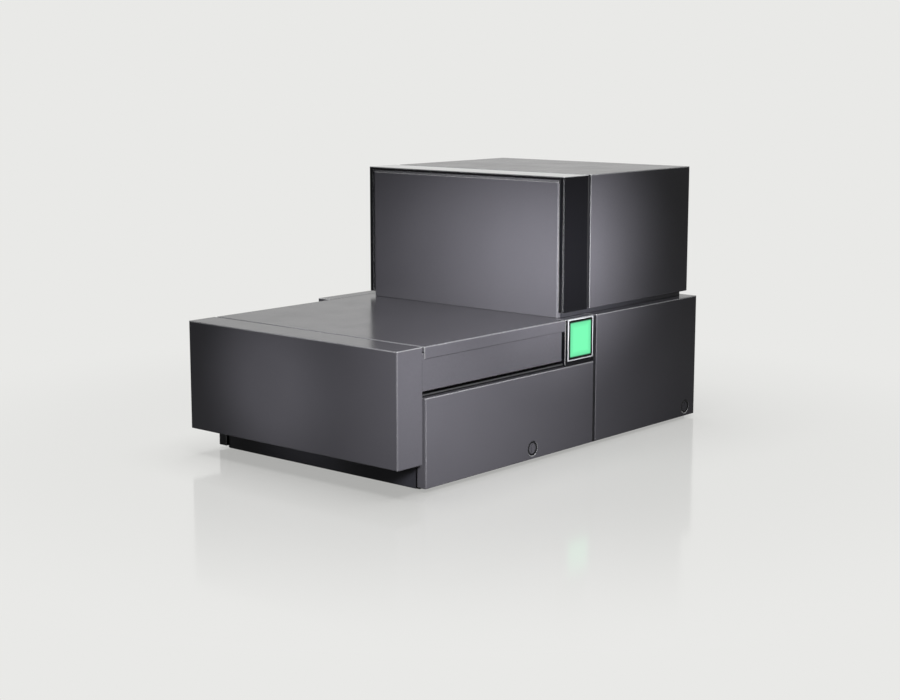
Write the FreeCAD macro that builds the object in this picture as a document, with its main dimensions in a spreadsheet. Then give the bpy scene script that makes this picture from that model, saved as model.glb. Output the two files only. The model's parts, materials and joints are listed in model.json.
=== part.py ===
import FreeCAD, Part
import os
import re
import Sketcher

# Benchtop liquid scintillation counter: a low sheet-metal body with a pull-out sample
# drawer at the front and a shielded detector tower at the back.
#
# Every place below is given from three natural references: X from the body's middle
# plane (right is plus), Y from the body's front plane (back is plus), Z from the floor.

# Driving dimensions in millimetres: name, value, meaning.
SIZES = (
    ("body_width", 520.0, "outer faces of the side panels"),
    ("body_depth", 825.0, "front plane to the back edge of the side panels"),
    ("deck_height", 249.0, "top of the deck above the floor"),
    ("total_height", 509.0, "top of the tower above the floor"),
    ("panel_sheet", 1.5, "thickness of the painted covers"),
    ("frame_sheet", 2.0, "thickness of the inner frame"),
    ("edge_round", 1.2, "rounding of the bent cover edges"),
    ("play", 0.4, "running clearance between moving pieces"),
    ("seat_gap", 0.5, "assembly gap between pieces that are screwed together"),
    ("foot_height", 2.0, "base pan above the floor"),
    ("foot_radius", 20.0, "sole of a foot"),
    ("foot_stud_radius", 5.0, "threaded stud of a foot"),
    ("foot_stud_length", 12.0, "threaded stud of a foot, inside the base pan"),
    ("foot_chamfer", 1.0, "chamfer of a foot's sole"),
    ("foot_inset_x", 26.0, "foot centre from the side of the base pan"),
    ("foot_inset_y", 36.0, "foot centre from the ends of the base pan"),
    ("pan_start", 6.0, "front edge of the base pan"),
    ("pan_rim", 20.0, "height of the base pan"),
    ("wall_flange", 12.0, "folded edges of the inner walls"),
    ("window_start", 99.0, "first window of an inner wall"),
    ("window_pitch", 132.0, "spacing of those windows"),
    ("window_length", 80.0, "length of such a window"),
    ("window_margin", 20.0, "wall left above and below such a window"),
    ("panel_floor_gap", 6.0, "side panels above the floor"),
    ("split_margin", 1.0, "front side panels past the display"),
    ("panel_gap", 7.5, "shadow gap between front and rear side panels"),
    ("drawer_band", 87.5, "deck's top above the front side panels"),
    ("panel_return", 19.8, "depth of a side panel over its folded edges"),
    ("ledge_return", 46.0, "width of the rear side panels' top flange"),
    ("lock_radius", 13.5, "lock ring, outside"),
    ("lock_core_radius", 10.0, "turning core of a lock"),
    ("lock_front_y", 290.5, "lock of a front side panel"),
    ("lock_rear_inset", 33.5, "lock of a rear side panel, from the panel's back edge"),
    ("lock_height", 25.5, "lock centre above the floor"),
    ("lock_depth", 6.0, "length of a lock ring"),
    ("lock_recess", 0.5, "turning core below the panel's face"),
    ("lock_slot_width", 3.0, "slot of a turning core"),
    ("lock_slot_depth", 2.0, "slot of a turning core"),
    ("lock_shaft", 2.0, "shaft between a lock's core and its cam"),
    ("lock_cam_reach", 16.0, "length of a lock's cam"),
    ("lock_cam_width", 10.0, "width of a lock's cam"),
    ("lock_cam_thickness", 3.0, "thickness of a lock's cam"),
    ("plinth_inset", 25.0, "ends of the skirting in from the side panels' faces"),
    ("plinth_setback", 3.0, "skirting behind the front plane"),
    ("plinth_clearance", 18.0, "top of the skirting below the drawer pan"),
    ("plinth_fold", 19.0, "folded top edge of the skirting"),
    ("bulkhead_offset", 0.5, "cross wall under the tower, behind the front side panels"),
    ("passage_margin", 5.2, "cross wall left beside its opening for the drawer pan"),
    ("passage_clearance", 8.0, "that opening's lower edge below the drawer pan"),
    ("deck_inset", 2.0, "deck and drawer front in from the side panels' faces"),
    ("lip_height", 21.0, "down-turned edge of the deck"),
    ("lip_clearance", 1.5, "deck's front lip above the skirts"),
    ("notch_lap", 1.0, "deck beside the display, under the tower's gloss frame"),
    ("drawer_gap", 6.0, "shadow gap between drawer front and deck"),
    ("drawer_depth", 62.0, "depth of the drawer front"),
    ("drawer_low", 49.0, "lower edge of the drawer front"),
    ("drawer_sheet", 2.0, "thickness of the drawer front's shell"),
    ("skirt_inset", 4.0, "drawer's side skirts in from the side panels' faces"),
    ("skirt_clearance", 12.0, "skirt above the front side panel"),
    ("skirt_drop", 11.0, "upper edge of a skirt below the deck's top, behind its lip"),
    ("skirt_flange", 8.0, "folded edges of a skirt"),
    ("skirt_gap", 7.5, "shadow gap between skirt and display"),
    ("rail_clearance", 4.5, "skirt rail above the front side panel"),
    ("rail_thickness", 2.5, "skirt rail"),
    ("rail_gap", 3.0, "skirt rail before the display"),
    ("rail_setback", 2.0, "skirt rail behind the drawer front"),
    ("slide_width", 14.2, "telescopic slide between drawer pan and inner wall"),
    ("tray_drop", 141.0, "deck's top above the drawer pan's underside"),
    ("tray_wall_height", 50.0, "side walls of the drawer pan"),
    ("tray_margin", 65.0, "drawer pan's back end before the panels' back edges"),
    ("fork_margin", 7.0, "drawer pan's open slot past the lift's guide, each side"),
    ("slide_rise", 4.0, "telescopic slides above the drawer pan's underside"),
    ("slide_height", 45.0, "telescopic slide, outer member"),
    ("slide_sheet", 1.2, "thickness of the slide profiles"),
    ("slide_start", 10.0, "front end of the slides"),
    ("slide_margin", 4.5, "back ends of the slides before the cross wall"),
    ("lift_y", 545.0, "axis of the lift and the measuring chamber"),
    ("carriage_nose", 14.0, "tray carriage before the front rack"),
    ("carriage_tail", 13.2, "tray carriage behind the rear rack"),
    ("carriage_sheet", 4.0, "thickness of the carriage's runner bars and of the rack tray"),
    ("carriage_lap", 2.0, "runner bars of the tray carriage past the pan's guides"),
    ("guide_width", 12.0, "section of the linear guides"),
    ("guide_height", 8.0, "section of the linear guides"),
    ("guide_inset", 3.0, "linear guides in from the drawer pan's walls"),
    ("guide_start", 5.0, "front end of the linear guides"),
    ("guide_margin", 6.0, "linear guides' back ends before the drawer pan's"),
    ("way_setback", 2.0, "cross guides in from the tray carriage's ends"),
    ("rack_start", 18.0, "front face of the front vial rack"),
    ("rack_pitch", 31.0, "vial spacing"),
    ("rack_wall", 2.4, "walls between the vial rows"),
    ("rack_height", 46.0, "vial rack"),
    ("rack_slot", 23.0, "open slot under a row, for the lift"),
    ("rack_ledge", 3.0, "floor of a vial row"),
    ("rack_end_wall", 6.0, "floor left at the ends of a row's slot"),
    ("rack_gap", 1.0, "gap between the two racks"),
    ("rack_tray_lap", 2.0, "rack tray past the racks, each side"),
    ("tray_slot_margin", 1.0, "rack tray's slot past the rack's slot"),
    ("rib_reach", 3.0, "ribs that keep the vials apart"),
    ("rib_thickness", 2.4, "ribs that keep the vials apart"),
    ("lift_guide_radius", 17.0, "fixed tube of the lift"),
    ("lift_flange_width", 14.0, "base flange of that tube"),
    ("lift_flange_height", 5.0, "base flange of that tube"),
    ("lift_sleeve_radius", 10.5, "middle tube of the lift"),
    ("lift_piston_radius", 7.5, "piston of the lift"),
    ("lift_clearance", 4.0, "top of the lift at rest below the drawer pan"),
    ("lift_cup_height", 6.0, "cup on the piston"),
    ("lift_cup_inset", 0.5, "cup smaller than the middle tube"),
    ("lift_cup_dish", 1.5, "rim of the cup over its floor"),
    ("lift_end_gap", 0.5, "end clearance of the lift's tubes"),
    ("motor_size", 42.0, "lift motor, square"),
    ("motor_length", 48.0, "lift motor"),
    ("motor_boss_radius", 11.0, "boss on the lift motor"),
    ("motor_boss_height", 3.0, "boss on the lift motor"),
    ("belt_cover_width", 30.0, "cover of the lift's belt"),
    ("belt_cover_height", 12.0, "cover of the lift's belt"),
    ("shutter_drop", 34.0, "upper face of the shutter housing below the deck's top"),
    ("shutter_housing_height", 12.0, "shutter housing"),
    ("shutter_radius", 76.0, "shutter disc"),
    ("shutter_thickness", 3.0, "shutter disc"),
    ("shutter_arm", 52.0, "shutter pivot behind the lift's axis"),
    ("shutter_rim_gap", 2.0, "room round the shutter disc"),
    ("shutter_wall", 3.0, "walls of the shutter housing"),
    ("shutter_window_gap", 1.0, "window of the shutter disc past the vial bore"),
    ("pivot_radius", 4.0, "pivot hole of the shutter"),
    ("bore_radius", 16.0, "vial bore through the shielding"),
    ("plug_radius", 64.0, "lower lead plug"),
    ("shield_radius", 130.0, "lead rings around the chamber"),
    ("shield_flange", 17.5, "lower lead piece above the tower's base plate"),
    ("shield_ring_height", 66.0, "middle lead ring"),
    ("shield_cap_height", 76.0, "lead cap"),
    ("shield_chamfer", 12.0, "chamfer of the lead cap"),
    ("shield_play", 0.3, "lead round the chamber and the tubes"),
    ("chamber_radius", 32.0, "measuring chamber"),
    ("chamber_lining", 0.5, "measuring chamber's bore smaller than the vial bore"),
    ("chamber_roof", 4.5, "closed top of the measuring chamber"),
    ("port_lip", 3.0, "rim that holds a tube off the chamber's port"),
    ("tube_radius", 26.0, "photomultiplier tube"),
    ("tube_length", 112.0, "photomultiplier tube"),
    ("tube_neck_length", 30.0, "narrow end of a photomultiplier tube"),
    ("tube_neck_step", 4.0, "narrow end of a photomultiplier tube, smaller in radius"),
    ("socket_length", 26.0, "socket of a photomultiplier"),
    ("socket_lap", 1.0, "socket larger than its tube in radius"),
    ("tower_inset", 16.5, "tower's gloss frame in from the side panels' faces"),
    ("tower_reach", 147.0, "front face of the tower before the lift's axis"),
    ("tower_base_height", 9.5, "raised base plate under the tower's covers"),
    ("hood_depth", 75.0, "gloss frame of the tower, front to back"),
    ("hood_border", 10.0, "visible border of the gloss frame, sides"),
    ("hood_border_top", 6.5, "visible border of the gloss frame, top"),
    ("hood_wall", 3.0, "walls of the gloss frame"),
    ("hood_foot", 8.0, "gloss frame over the edge of the base plate"),
    ("front_panel_gap", 3.0, "shadow gap round the tower's front panel"),
    ("front_panel_depth", 10.0, "folded edges of the tower's front panel"),
    ("front_panel_setback", 0.5, "tower's front panel behind the gloss frame's face"),
    ("front_panel_flange", 5.5, "flange of that panel, behind the gloss frame's border"),
    ("casing_inset", 3.0, "rear shell of the tower in from the gloss frame"),
    ("casing_gap", 12.0, "shadow gap between the gloss frame and that shell"),
    ("casing_back_inset", 7.0, "back edge of that shell before the panels' back edges"),
    ("casing_flange", 16.0, "bottom flanges of that shell"),
    ("gasket_thickness", 3.0, "foam strip between gloss frame and shell"),
    ("gasket_lap", 7.0, "foam strip inside the gloss frame and inside the shell"),
    ("gasket_roof", 1.0, "foam strip under the roofs"),
    ("cover_setback", 1.0, "tower's rear cover inside the shell's back edge"),
    ("base_step", 2.0, "base plate in from the gloss frame's border"),
    ("base_setback", 14.0, "base plate behind the tower's front face"),
    ("base_back_inset", 12.0, "base plate before the shell's back edge"),
    ("display_length", 86.0, "display housing, front to back"),
    ("display_drop", 85.0, "underside of the display housing below the deck's top"),
    ("housing_wall", 2.0, "walls of the display housing"),
    ("bezel_margin", 7.5, "display bezel behind the housing's front face"),
    ("bezel_width", 77.0, "display bezel, square"),
    ("bezel_drop", 1.0, "display bezel below the deck's top"),
    ("bezel_border", 2.0, "visible rim of the bezel"),
    ("bezel_round", 0.5, "rounding of the bezel's edges"),
    ("screen_thickness", 2.8, "status screen"),
    ("screen_proud", 0.8, "status screen past the housing's face"),
    ("backlight_thickness", 2.0, "lamp plate behind the status screen"),
    ("display_board_sheet", 1.6, "display board"),
    ("display_board_margin", 4.0, "display board in from the bezel's outline"),
    ("connector_depth", 6.4, "connector of the display board"),
    ("connector_length", 25.0, "connector of the display board"),
    ("connector_width", 8.0, "connector of the display board"),
    ("duct_reach", 32.5, "side air duct, outwards from the left panels"),
    ("duct_start", 298.0, "front face of the air duct"),
    ("duct_end", 610.0, "back face of the air duct"),
    ("duct_low", 60.0, "underside of the air duct"),
    ("duct_vent_start", 24.0, "first vent of the air duct behind its front face"),
    ("duct_vent_pitch", 15.0, "spacing of those vents"),
    ("duct_vent_margin", 8.0, "duct floor left at the ends of a vent"),
    ("rear_inset", 2.5, "rear panel's face in from the panels' back edges"),
    ("rear_lip_gap", 1.0, "rear panel's folded top edge behind the base plate"),
    ("vent_width", 3.5, "vent slots"),
    ("vent_height", 50.0, "upright vent slots"),
    ("vent_pitch", 14.0, "spacing of the upright vent slots"),
    ("rear_vent_inset", 50.2, "first vent of the rear panel from its left edge"),
    ("rear_vent_drop", 34.0, "top of the rear panel's vents below the deck's top"),
    ("tower_vent_x", 70.0, "first vent of the tower's rear cover, from the middle"),
    ("tower_vent_drop", 40.0, "top of those vents below the tower's top"),
    ("fan_size", 92.0, "cooling fan, square"),
    ("fan_depth", 25.0, "cooling fan"),
    ("fan_inset", 90.2, "fan centre from the rear panel's right edge"),
    ("fan_drop", 89.0, "fan centre below the deck's top"),
    ("fan_hub_radius", 18.0, "fan hub"),
    ("fan_hub_length", 17.0, "fan hub"),
    ("fan_rim", 3.0, "fan frame beside its throat"),
    ("fan_arm_width", 5.0, "arms that carry the fan's motor"),
    ("fan_arm_depth", 4.0, "arms that carry the fan's motor"),
    ("blade_width", 13.0, "fan blade"),
    ("blade_thickness", 1.6, "fan blade"),
    ("blade_gap", 1.5, "tip of a fan blade from the throat"),
    ("guard_radius", 14.0, "innermost ring of the fan's guard"),
    ("guard_pitch", 10.0, "spacing of the guard's rings"),
    ("guard_wire", 2.0, "rings and bars of the guard"),
    ("inlet_inset", 70.2, "power inlet centre from the rear panel's left edge"),
    ("inlet_z", 60.0, "power inlet centre"),
    ("inlet_width", 27.0, "power inlet, behind its flange"),
    ("inlet_height", 20.0, "power inlet, behind its flange"),
    ("inlet_wall", 2.0, "walls of the power inlet"),
    ("inlet_floor", 4.0, "bottom of the power inlet"),
    ("pin_pitch", 7.0, "outer pins of the power inlet, from the middle one"),
    ("pin_width", 2.0, "pins of the power inlet"),
    ("pin_height", 4.0, "pins of the power inlet"),
    ("pin_setback", 1.0, "pins of the power inlet behind the rear panel's face"),
    ("pin_rise", 2.5, "middle pin above the inlet's centre"),
    ("pin_drop", 1.5, "outer pins below the inlet's centre"),
    ("switch_step", 50.0, "power switch centre beside the inlet's"),
    ("switch_width", 13.0, "power switch's frame"),
    ("switch_height", 22.0, "power switch's frame"),
    ("switch_wall", 1.3, "walls of the power switch's frame"),
    ("switch_floor", 6.0, "bottom of the power switch's frame"),
    ("entry_depth", 20.0, "power module behind the rear panel's face"),
    ("entry_opening", 8.0, "rear panel's opening round the power module"),
    ("entry_margin", 12.0, "flange of the power module round its inlet and switch"),
    ("entry_sheet", 2.0, "flange of the power module"),
    ("rocker_width", 9.2, "power rocker"),
    ("rocker_depth", 5.0, "rocker's pin behind the rear panel's face"),
    ("rocker_root", 3.0, "rocker behind its pin"),
    ("rocker_root_half", 4.0, "rocker's narrow end, from its middle"),
    ("rocker_crown", 6.4, "rocker's middle before its pin"),
    ("rocker_tip", 5.2, "rocker's ends before its pin"),
    ("rocker_half", 8.2, "rocker's ends, from its middle"),
    ("ports_inset", 154.2, "network socket centre from the main board's left edge"),
    ("network_width", 16.0, "network socket"),
    ("data_width", 13.0, "data socket"),
    ("port_height", 13.0, "network and data sockets"),
    ("port_spacing", 8.0, "between the network and data sockets"),
    ("port_wall", 2.0, "walls of those sockets"),
    ("port_depth", 16.0, "those sockets, behind the rear panel"),
    ("port_floor", 4.0, "bottom of those sockets"),
    ("port_opening", 12.0, "rear panel's opening round the sockets"),
    ("shield_lap", 4.0, "sockets' cover plate past that opening"),
    ("supply_width", 155.0, "power supply"),
    ("supply_length", 180.0, "power supply"),
    ("supply_height", 62.0, "power supply"),
    ("supply_margin", 12.0, "power supply from the inner wall"),
    ("supply_back", 60.0, "power supply before the rear panel"),
    ("terminal_inset", 20.0, "terminal block of the power supply"),
    ("terminal_length", 100.0, "terminal block of the power supply"),
    ("terminal_depth", 10.0, "terminal block of the power supply"),
    ("terminal_height", 14.0, "terminal block of the power supply"),
    ("board_width", 195.0, "main board"),
    ("board_length", 205.0, "main board"),
    ("board_lift", 26.0, "stand-offs under the main board"),
    ("board_margin", 12.0, "main board from the inner wall"),
    ("board_back_gap", 3.0, "main board before the rear panel"),
    ("stand_off_radius", 4.0, "stand-offs under the main board"),
    ("stand_off_inset", 10.0, "stand-offs from the main board's edges"),
    ("high_voltage_width", 120.0, "high-voltage supply on the lead cap"),
    ("high_voltage_length", 100.0, "high-voltage supply"),
    ("high_voltage_height", 34.0, "high-voltage supply"),
    ("screw_radius", 2.0, "cover screws, shank"),
    ("screw_head_radius", 3.8, "cover screws, head"),
    ("screw_head_height", 2.2, "cover screws, head"),
    ("screw_length", 8.0, "cover screws, shank"),
    ("rear_screw_inset", 9.0, "screws from the rear panel's side edges"),
    ("rear_screw_rise", 12.0, "lowest screws above the base pan's height"),
    ("tower_screw_inset", 12.0, "screws from the tower shell's side faces"),
    ("screw_margin", 16.0, "screws from a cover's top and bottom"),
    ("cutter", 1.0, "how far a cut starts outside the material"),
)

NAMES = {name for name, _, _ in SIZES}

doc = FreeCAD.newDocument("LiquidScintillationCounter")
sheet = doc.addObject("Spreadsheet::Sheet", "Sizes")
for row, (name, value, meaning) in enumerate(SIZES, start=1):
    sheet.set(f"A{row}", meaning)
    sheet.set(f"B{row}", str(value))
    sheet.setAlias(f"B{row}", name)
doc.recompute()

# Places worked out from the driving dimensions, still as spreadsheet expressions.
HALF = "(body_width / 2)"
ORIGIN_X = "duct_reach / 2"
ORIGIN_Y = "(drawer_gap + drawer_depth - body_depth) / 2"
DRAWER_FACE = "-drawer_gap - drawer_depth"
PAN_HALF = "(body_width / 2 - panel_return)"
WALL_OUT = "(body_width / 2 - panel_return - frame_sheet)"
WALL_IN = "(body_width / 2 - panel_return - 2 * frame_sheet)"
PAN_FLOOR = "(foot_height + frame_sheet)"
DECK_UNDER = "(deck_height - panel_sheet)"
DECK_HALF = "(body_width / 2 - deck_inset)"
REAR_FACE = "(body_depth - rear_inset)"
FRAME_END = "(body_depth - rear_inset - panel_sheet)"
LOW_PANEL_TOP = "(deck_height - drawer_band)"
TOWER_HALF = "(body_width / 2 - tower_inset)"
TOWER_LOW = "(deck_height + tower_base_height)"
TOWER_FRONT = "(lift_y - tower_reach)"
TOWER_END = "(lift_y - tower_reach + hood_depth)"
CASING_HALF = "(body_width / 2 - tower_inset - casing_inset)"
CASING_FRONT = "(lift_y - tower_reach + hood_depth + casing_gap)"
CASING_BACK = "(body_depth - casing_back_inset)"
BASE_HALF = "(body_width / 2 - tower_inset - hood_border - base_step)"
BASE_BACK = "(body_depth - casing_back_inset - base_back_inset)"
NOTCH = "(body_width / 2 - tower_inset - notch_lap)"
PANEL_SPLIT = "(lift_y - tower_reach + hood_depth + split_margin)"
REAR_START = "(lift_y - tower_reach + hood_depth + split_margin + panel_gap)"
LOCK_REAR_Y = "(body_depth - lock_rear_inset)"
DISPLAY_FRONT = "(lift_y - tower_reach + hood_depth - display_length)"
DISPLAY_LOW = "(deck_height - display_drop)"
BEZEL_START = "(lift_y - tower_reach + hood_depth - display_length + bezel_margin)"
BEZEL_LOW = "(deck_height - bezel_drop - bezel_width)"
SKIRT_HALF = "(body_width / 2 - skirt_inset)"
SKIRT_LOW = "(deck_height - drawer_band + skirt_clearance)"
SKIRT_HIGH = "(deck_height - skirt_drop)"
RAIL_LOW = "(deck_height - drawer_band + rail_clearance)"
BULKHEAD_FACE = "(lift_y - tower_reach + hood_depth + split_margin + bulkhead_offset)"
SHUTTER_TOP = "(deck_height - shutter_drop)"
SHUTTER_LOW = "(deck_height - shutter_drop - shutter_housing_height)"
TRAY_FLOOR = "(deck_height - tray_drop)"
LIFT_TOP = "(deck_height - tray_drop - lift_clearance)"
SLIDE_LOW = "(deck_height - tray_drop + slide_rise)"
SLIDE_END = "(lift_y - tower_reach + hood_depth + split_margin + bulkhead_offset - slide_margin)"
TRAY_HALF = "(body_width / 2 - panel_return - 2 * frame_sheet - slide_width)"
TRAY_END = "(body_depth - tray_margin)"
TRAY_TOP = "(deck_height - tray_drop + frame_sheet)"
CARRIAGE_LOW = f"({TRAY_TOP} + guide_height + play)"
CARRIAGE_TOP = f"({CARRIAGE_LOW} + carriage_sheet)"
RACK_TRAY_LOW = f"({CARRIAGE_TOP} + guide_height + play)"
RACK_LOW = f"({RACK_TRAY_LOW} + carriage_sheet)"
COLUMNS = 7
ROWS = 3
RACK_HALF = f"({COLUMNS} * rack_pitch / 2 + rack_wall / 2)"
RACK_LENGTH = f"({ROWS} * rack_pitch + rack_wall)"
CARRIAGE_START = "(rack_start - carriage_nose)"
CARRIAGE_END = f"(rack_start + 2 * {RACK_LENGTH} + rack_gap + carriage_tail)"
GUIDE_X = f"({TRAY_HALF} - frame_sheet - guide_width - guide_inset)"
LIFT_FLANGE = "(lift_guide_radius + lift_flange_width)"
SHIELD_FLOOR = "(deck_height + tower_base_height + shield_flange)"
SHIELD_RING_TOP = "(deck_height + tower_base_height + shield_flange + shield_ring_height)"
SHIELD_TOP = f"({SHIELD_RING_TOP} + shield_cap_height)"
FAN_X = f"({PAN_HALF} - fan_inset)"
FAN_Z = "(deck_height - fan_drop)"
INLET_X = f"(inlet_inset - {PAN_HALF})"
SWITCH_X = f"(inlet_inset - {PAN_HALF} + switch_step)"
BOARD_LEFT = f"(board_margin - {WALL_IN})"
PORTS_X = f"(board_margin - {WALL_IN} + ports_inset)"

sub_parts = []


def bound(text):
    """Write the sheet's name before each size in an expression."""
    return re.sub(r"[a-z_]+", lambda word: f"Sizes.{word[0]}" if word[0] in NAMES else word[0], text)


def number(text):
    """The present value of an expression."""
    return float(sheet.evalExpression(bound(text)))


def bind(piece, **expressions):
    """Bind properties of a piece to the sheet."""
    for name, text in expressions.items():
        piece.setExpression(name, bound(text))
    return piece


def put(piece, x, y, z):
    """Bind the place of a piece to the sheet."""
    for axis, text in zip("xyz", (x, y, z)):
        piece.setExpression(f"Placement.Base.{axis}", bound(text))
    return piece


# Primitives and booleans

def box(name, x, y, z):
    """A block between two ends along each axis."""
    piece = doc.addObject("Part::Box", name)
    sides = {side: f"({high}) - ({low})" for side, (low, high) in
             zip(("Length", "Width", "Height"), (x, y, z))}
    bind(piece, **sides)
    return put(piece, x[0], y[0], z[0])


AXIS_TURN = {
    "X": FreeCAD.Rotation(FreeCAD.Vector(0, 1, 0), 90),
    "Y": FreeCAD.Rotation(FreeCAD.Vector(1, 0, 0), -90),
    "Z": FreeCAD.Rotation(),
}


def rod(name, axis, radius, start, length):
    """A cylinder that starts at a point and runs towards plus along an axis."""
    piece = doc.addObject("Part::Cylinder", name)
    bind(piece, Radius=radius, Height=length)
    piece.Placement = FreeCAD.Placement(FreeCAD.Vector(), AXIS_TURN[axis])
    return put(piece, *start)


def cut(name, base, *tools):
    """A base with tools taken away."""
    piece = doc.addObject("Part::Cut", name)
    piece.Base = base
    piece.Tool = tools[0] if len(tools) == 1 else fuse(name + "_tools", *tools)
    return piece


def fuse(name, *pieces):
    """Pieces joined into one solid."""
    piece = doc.addObject("Part::MultiFuse", name)
    piece.Shapes = list(pieces)
    return piece


def compound(name, *pieces):
    """Separate solids kept together as one group."""
    piece = doc.addObject("Part::Compound", name)
    piece.Links = list(pieces)
    return piece


def mirror(name, source, middle="0"):
    """The mirror image of a piece across a plane that faces X."""
    piece = doc.addObject("Part::Mirroring", name)
    piece.Source = source
    piece.Normal = (1, 0, 0)
    piece.setExpression("Base.x", bound(middle))
    return piece


# Sketched bodies

def solid(name):
    """An empty body for sketched features."""
    return doc.addObject("PartDesign::Body", name)


def draw(body, plane, where, outlines):
    """A sketch across an axis, at a place along it, with its outlines bound to the sheet."""
    sketch = body.newObject("Sketcher::SketchObject", body.Name + "_sketch")
    support = next(item for item in body.Origin.OriginFeatures if item.Role == plane + "_Plane")
    sketch.AttachmentSupport = (support, [""])
    sketch.MapMode = "FlatFace"
    toward = "-1" if plane == "XZ" else "1"
    sketch.setExpression("AttachmentOffset.Base.z", bound(f"{toward} * ({where})"))
    for outline in outlines:
        if isinstance(outline, tuple):
            draw_circle(sketch, *outline)
        else:
            draw_polygon(sketch, outline)
    return sketch


def pin_down(sketch, points):
    """Hold points of a sketch, each a geometry, its point and a place, where the sheet says."""
    held = sketch.ConstraintCount
    constraints, texts = [], []
    for geometry, corner, x, y in points:
        for kind, text in (("DistanceX", x), ("DistanceY", y)):
            constraints.append(Sketcher.Constraint(kind, -1, 1, geometry, corner, number(text)))
            texts.append(text)
    sketch.addConstraint(constraints)
    for index, text in enumerate(texts, start=held):
        sketch.setExpression(f"Constraints[{index}]", bound(text))


def draw_circle(sketch, x, y, radius):
    """A circle about a point."""
    centre = FreeCAD.Vector(number(x), number(y), 0)
    circle = Part.Circle(centre, FreeCAD.Vector(0, 0, 1), number(radius))
    geometry = sketch.addGeometry(circle)
    held = sketch.addConstraint(Sketcher.Constraint("Radius", geometry, number(radius)))
    sketch.setExpression(f"Constraints[{held}]", bound(radius))
    pin_down(sketch, [(geometry, 3, x, y)])


def draw_polygon(sketch, corners):
    """A closed outline of straight lines through its corners."""
    places = [FreeCAD.Vector(number(x), number(y), 0) for x, y in corners]
    following = places[1:] + places[:1]
    lines = list(sketch.addGeometry([Part.LineSegment(*ends) for ends in zip(places, following)]))
    joined = zip(lines, lines[1:] + lines[:1])
    sketch.addConstraint([Sketcher.Constraint("Coincident", one, 2, two, 1) for one, two in joined])
    pin_down(sketch, [(line, 1, x, y) for line, (x, y) in zip(lines, corners)])


def rectangle(x, y):
    """The corners of a rectangle between two ends each way."""
    return [(x[0], y[0]), (x[1], y[0]), (x[1], y[1]), (x[0], y[1])]


def about(middle, half):
    """The span of a given half width about a middle."""
    return f"{middle} - ({half})", f"{middle} + ({half})"


def channel(x, y, wall, open_side):
    """The outline of a C profile whose mouth faces plus or minus along its first axis."""
    (left, right), (low, high) = x, y
    if open_side > 0:
        back, mouth, inner = left, right, f"({left}) + {wall}"
    else:
        back, mouth, inner = right, left, f"({right}) - {wall}"
    return [(back, low), (mouth, low), (mouth, f"({low}) + {wall}"), (inner, f"({low}) + {wall}"),
            (inner, f"({high}) - {wall}"), (mouth, f"({high}) - {wall}"), (mouth, high), (back, high)]


def pad(body, plane, span, *outlines):
    """Add material between two places along the axis that the sketch plane faces."""
    feature = body.newObject("PartDesign::Pad", body.Name + "_pad")
    feature.Profile = draw(body, plane, span[0], outlines)
    feature.Reversed = plane == "XZ"
    bind(feature, Length=f"({span[1]}) - ({span[0]})")
    return feature


def pocket(body, plane, span, *outlines):
    """Take material away between two places along the axis that the sketch plane faces."""
    doc.recompute([body])
    before = body.Shape.Volume
    feature = body.newObject("PartDesign::Pocket", body.Name + "_pocket")
    feature.Profile = draw(body, plane, span[0], outlines)
    feature.Reversed = plane != "XZ"
    bind(feature, Length=f"({span[1]}) - ({span[0]})")
    doc.recompute([body])
    if body.Shape.Volume >= before:
        raise RuntimeError(f"{body.Name}: a pocket cuts nothing")
    return feature


def revolve(body, outline, x="0", y="0"):
    """Turn an outline of radius and height about an upright axis through a point."""
    sketch = body.newObject("Sketcher::SketchObject", body.Name + "_profile")
    support = next(item for item in body.Origin.OriginFeatures if item.Role == "XZ_Plane")
    sketch.AttachmentSupport = (support, [""])
    sketch.MapMode = "FlatFace"
    sketch.setExpression("AttachmentOffset.Base.x", bound(x))
    sketch.setExpression("AttachmentOffset.Base.z", bound(f"-1 * ({y})"))
    draw_polygon(sketch, outline)
    feature = body.newObject("PartDesign::Revolution", body.Name + "_turn")
    feature.Profile = sketch
    feature.ReferenceAxis = (sketch, ["V_Axis"])
    feature.Angle = 360
    return feature


def soften(body, radius, *places):
    """Round every edge that lies in one of the given planes, such as ("x", 260)."""
    doc.recompute([body])
    tip = body.Tip
    names = []
    for index, edge in enumerate(tip.Shape.Edges, start=1):
        bounds = edge.BoundBox
        for axis, text in places:
            low = getattr(bounds, axis.upper() + "Min")
            high = getattr(bounds, axis.upper() + "Max")
            value = number(text)
            if abs(low - value) < 1e-4 and abs(high - value) < 1e-4:
                names.append(f"Edge{index}")
                break
    feature = body.newObject("PartDesign::Fillet", body.Name + "_round")
    feature.Base = (tip, names)
    bind(feature, Radius=radius)
    return feature


# Finished pieces

def sub_part(piece, label):
    """Name a finished piece and move it from the natural references to the part's origin."""
    piece.Label = label
    own = {path.lstrip("."): text for path, text in piece.ExpressionEngine}
    for axis, shift in (("x", ORIGIN_X), ("y", ORIGIN_Y)):
        path = f"Placement.Base.{axis}"
        piece.setExpression(path, f"{own.get(path, '0')} + {bound(shift)}")
    sub_parts.append(piece)
    return piece


def mirrored_part(source, label):
    """A finished piece that is the left-hand twin of another finished piece."""
    piece = mirror(label, source, ORIGIN_X)
    piece.Label = label
    sub_parts.append(piece)
    return piece


def pair(right, label):
    """A right-hand piece and its left-hand twin as one group."""
    return sub_part(compound(label, right, mirror(label + "_left", right)), label)


# Base and inner frame

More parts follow.
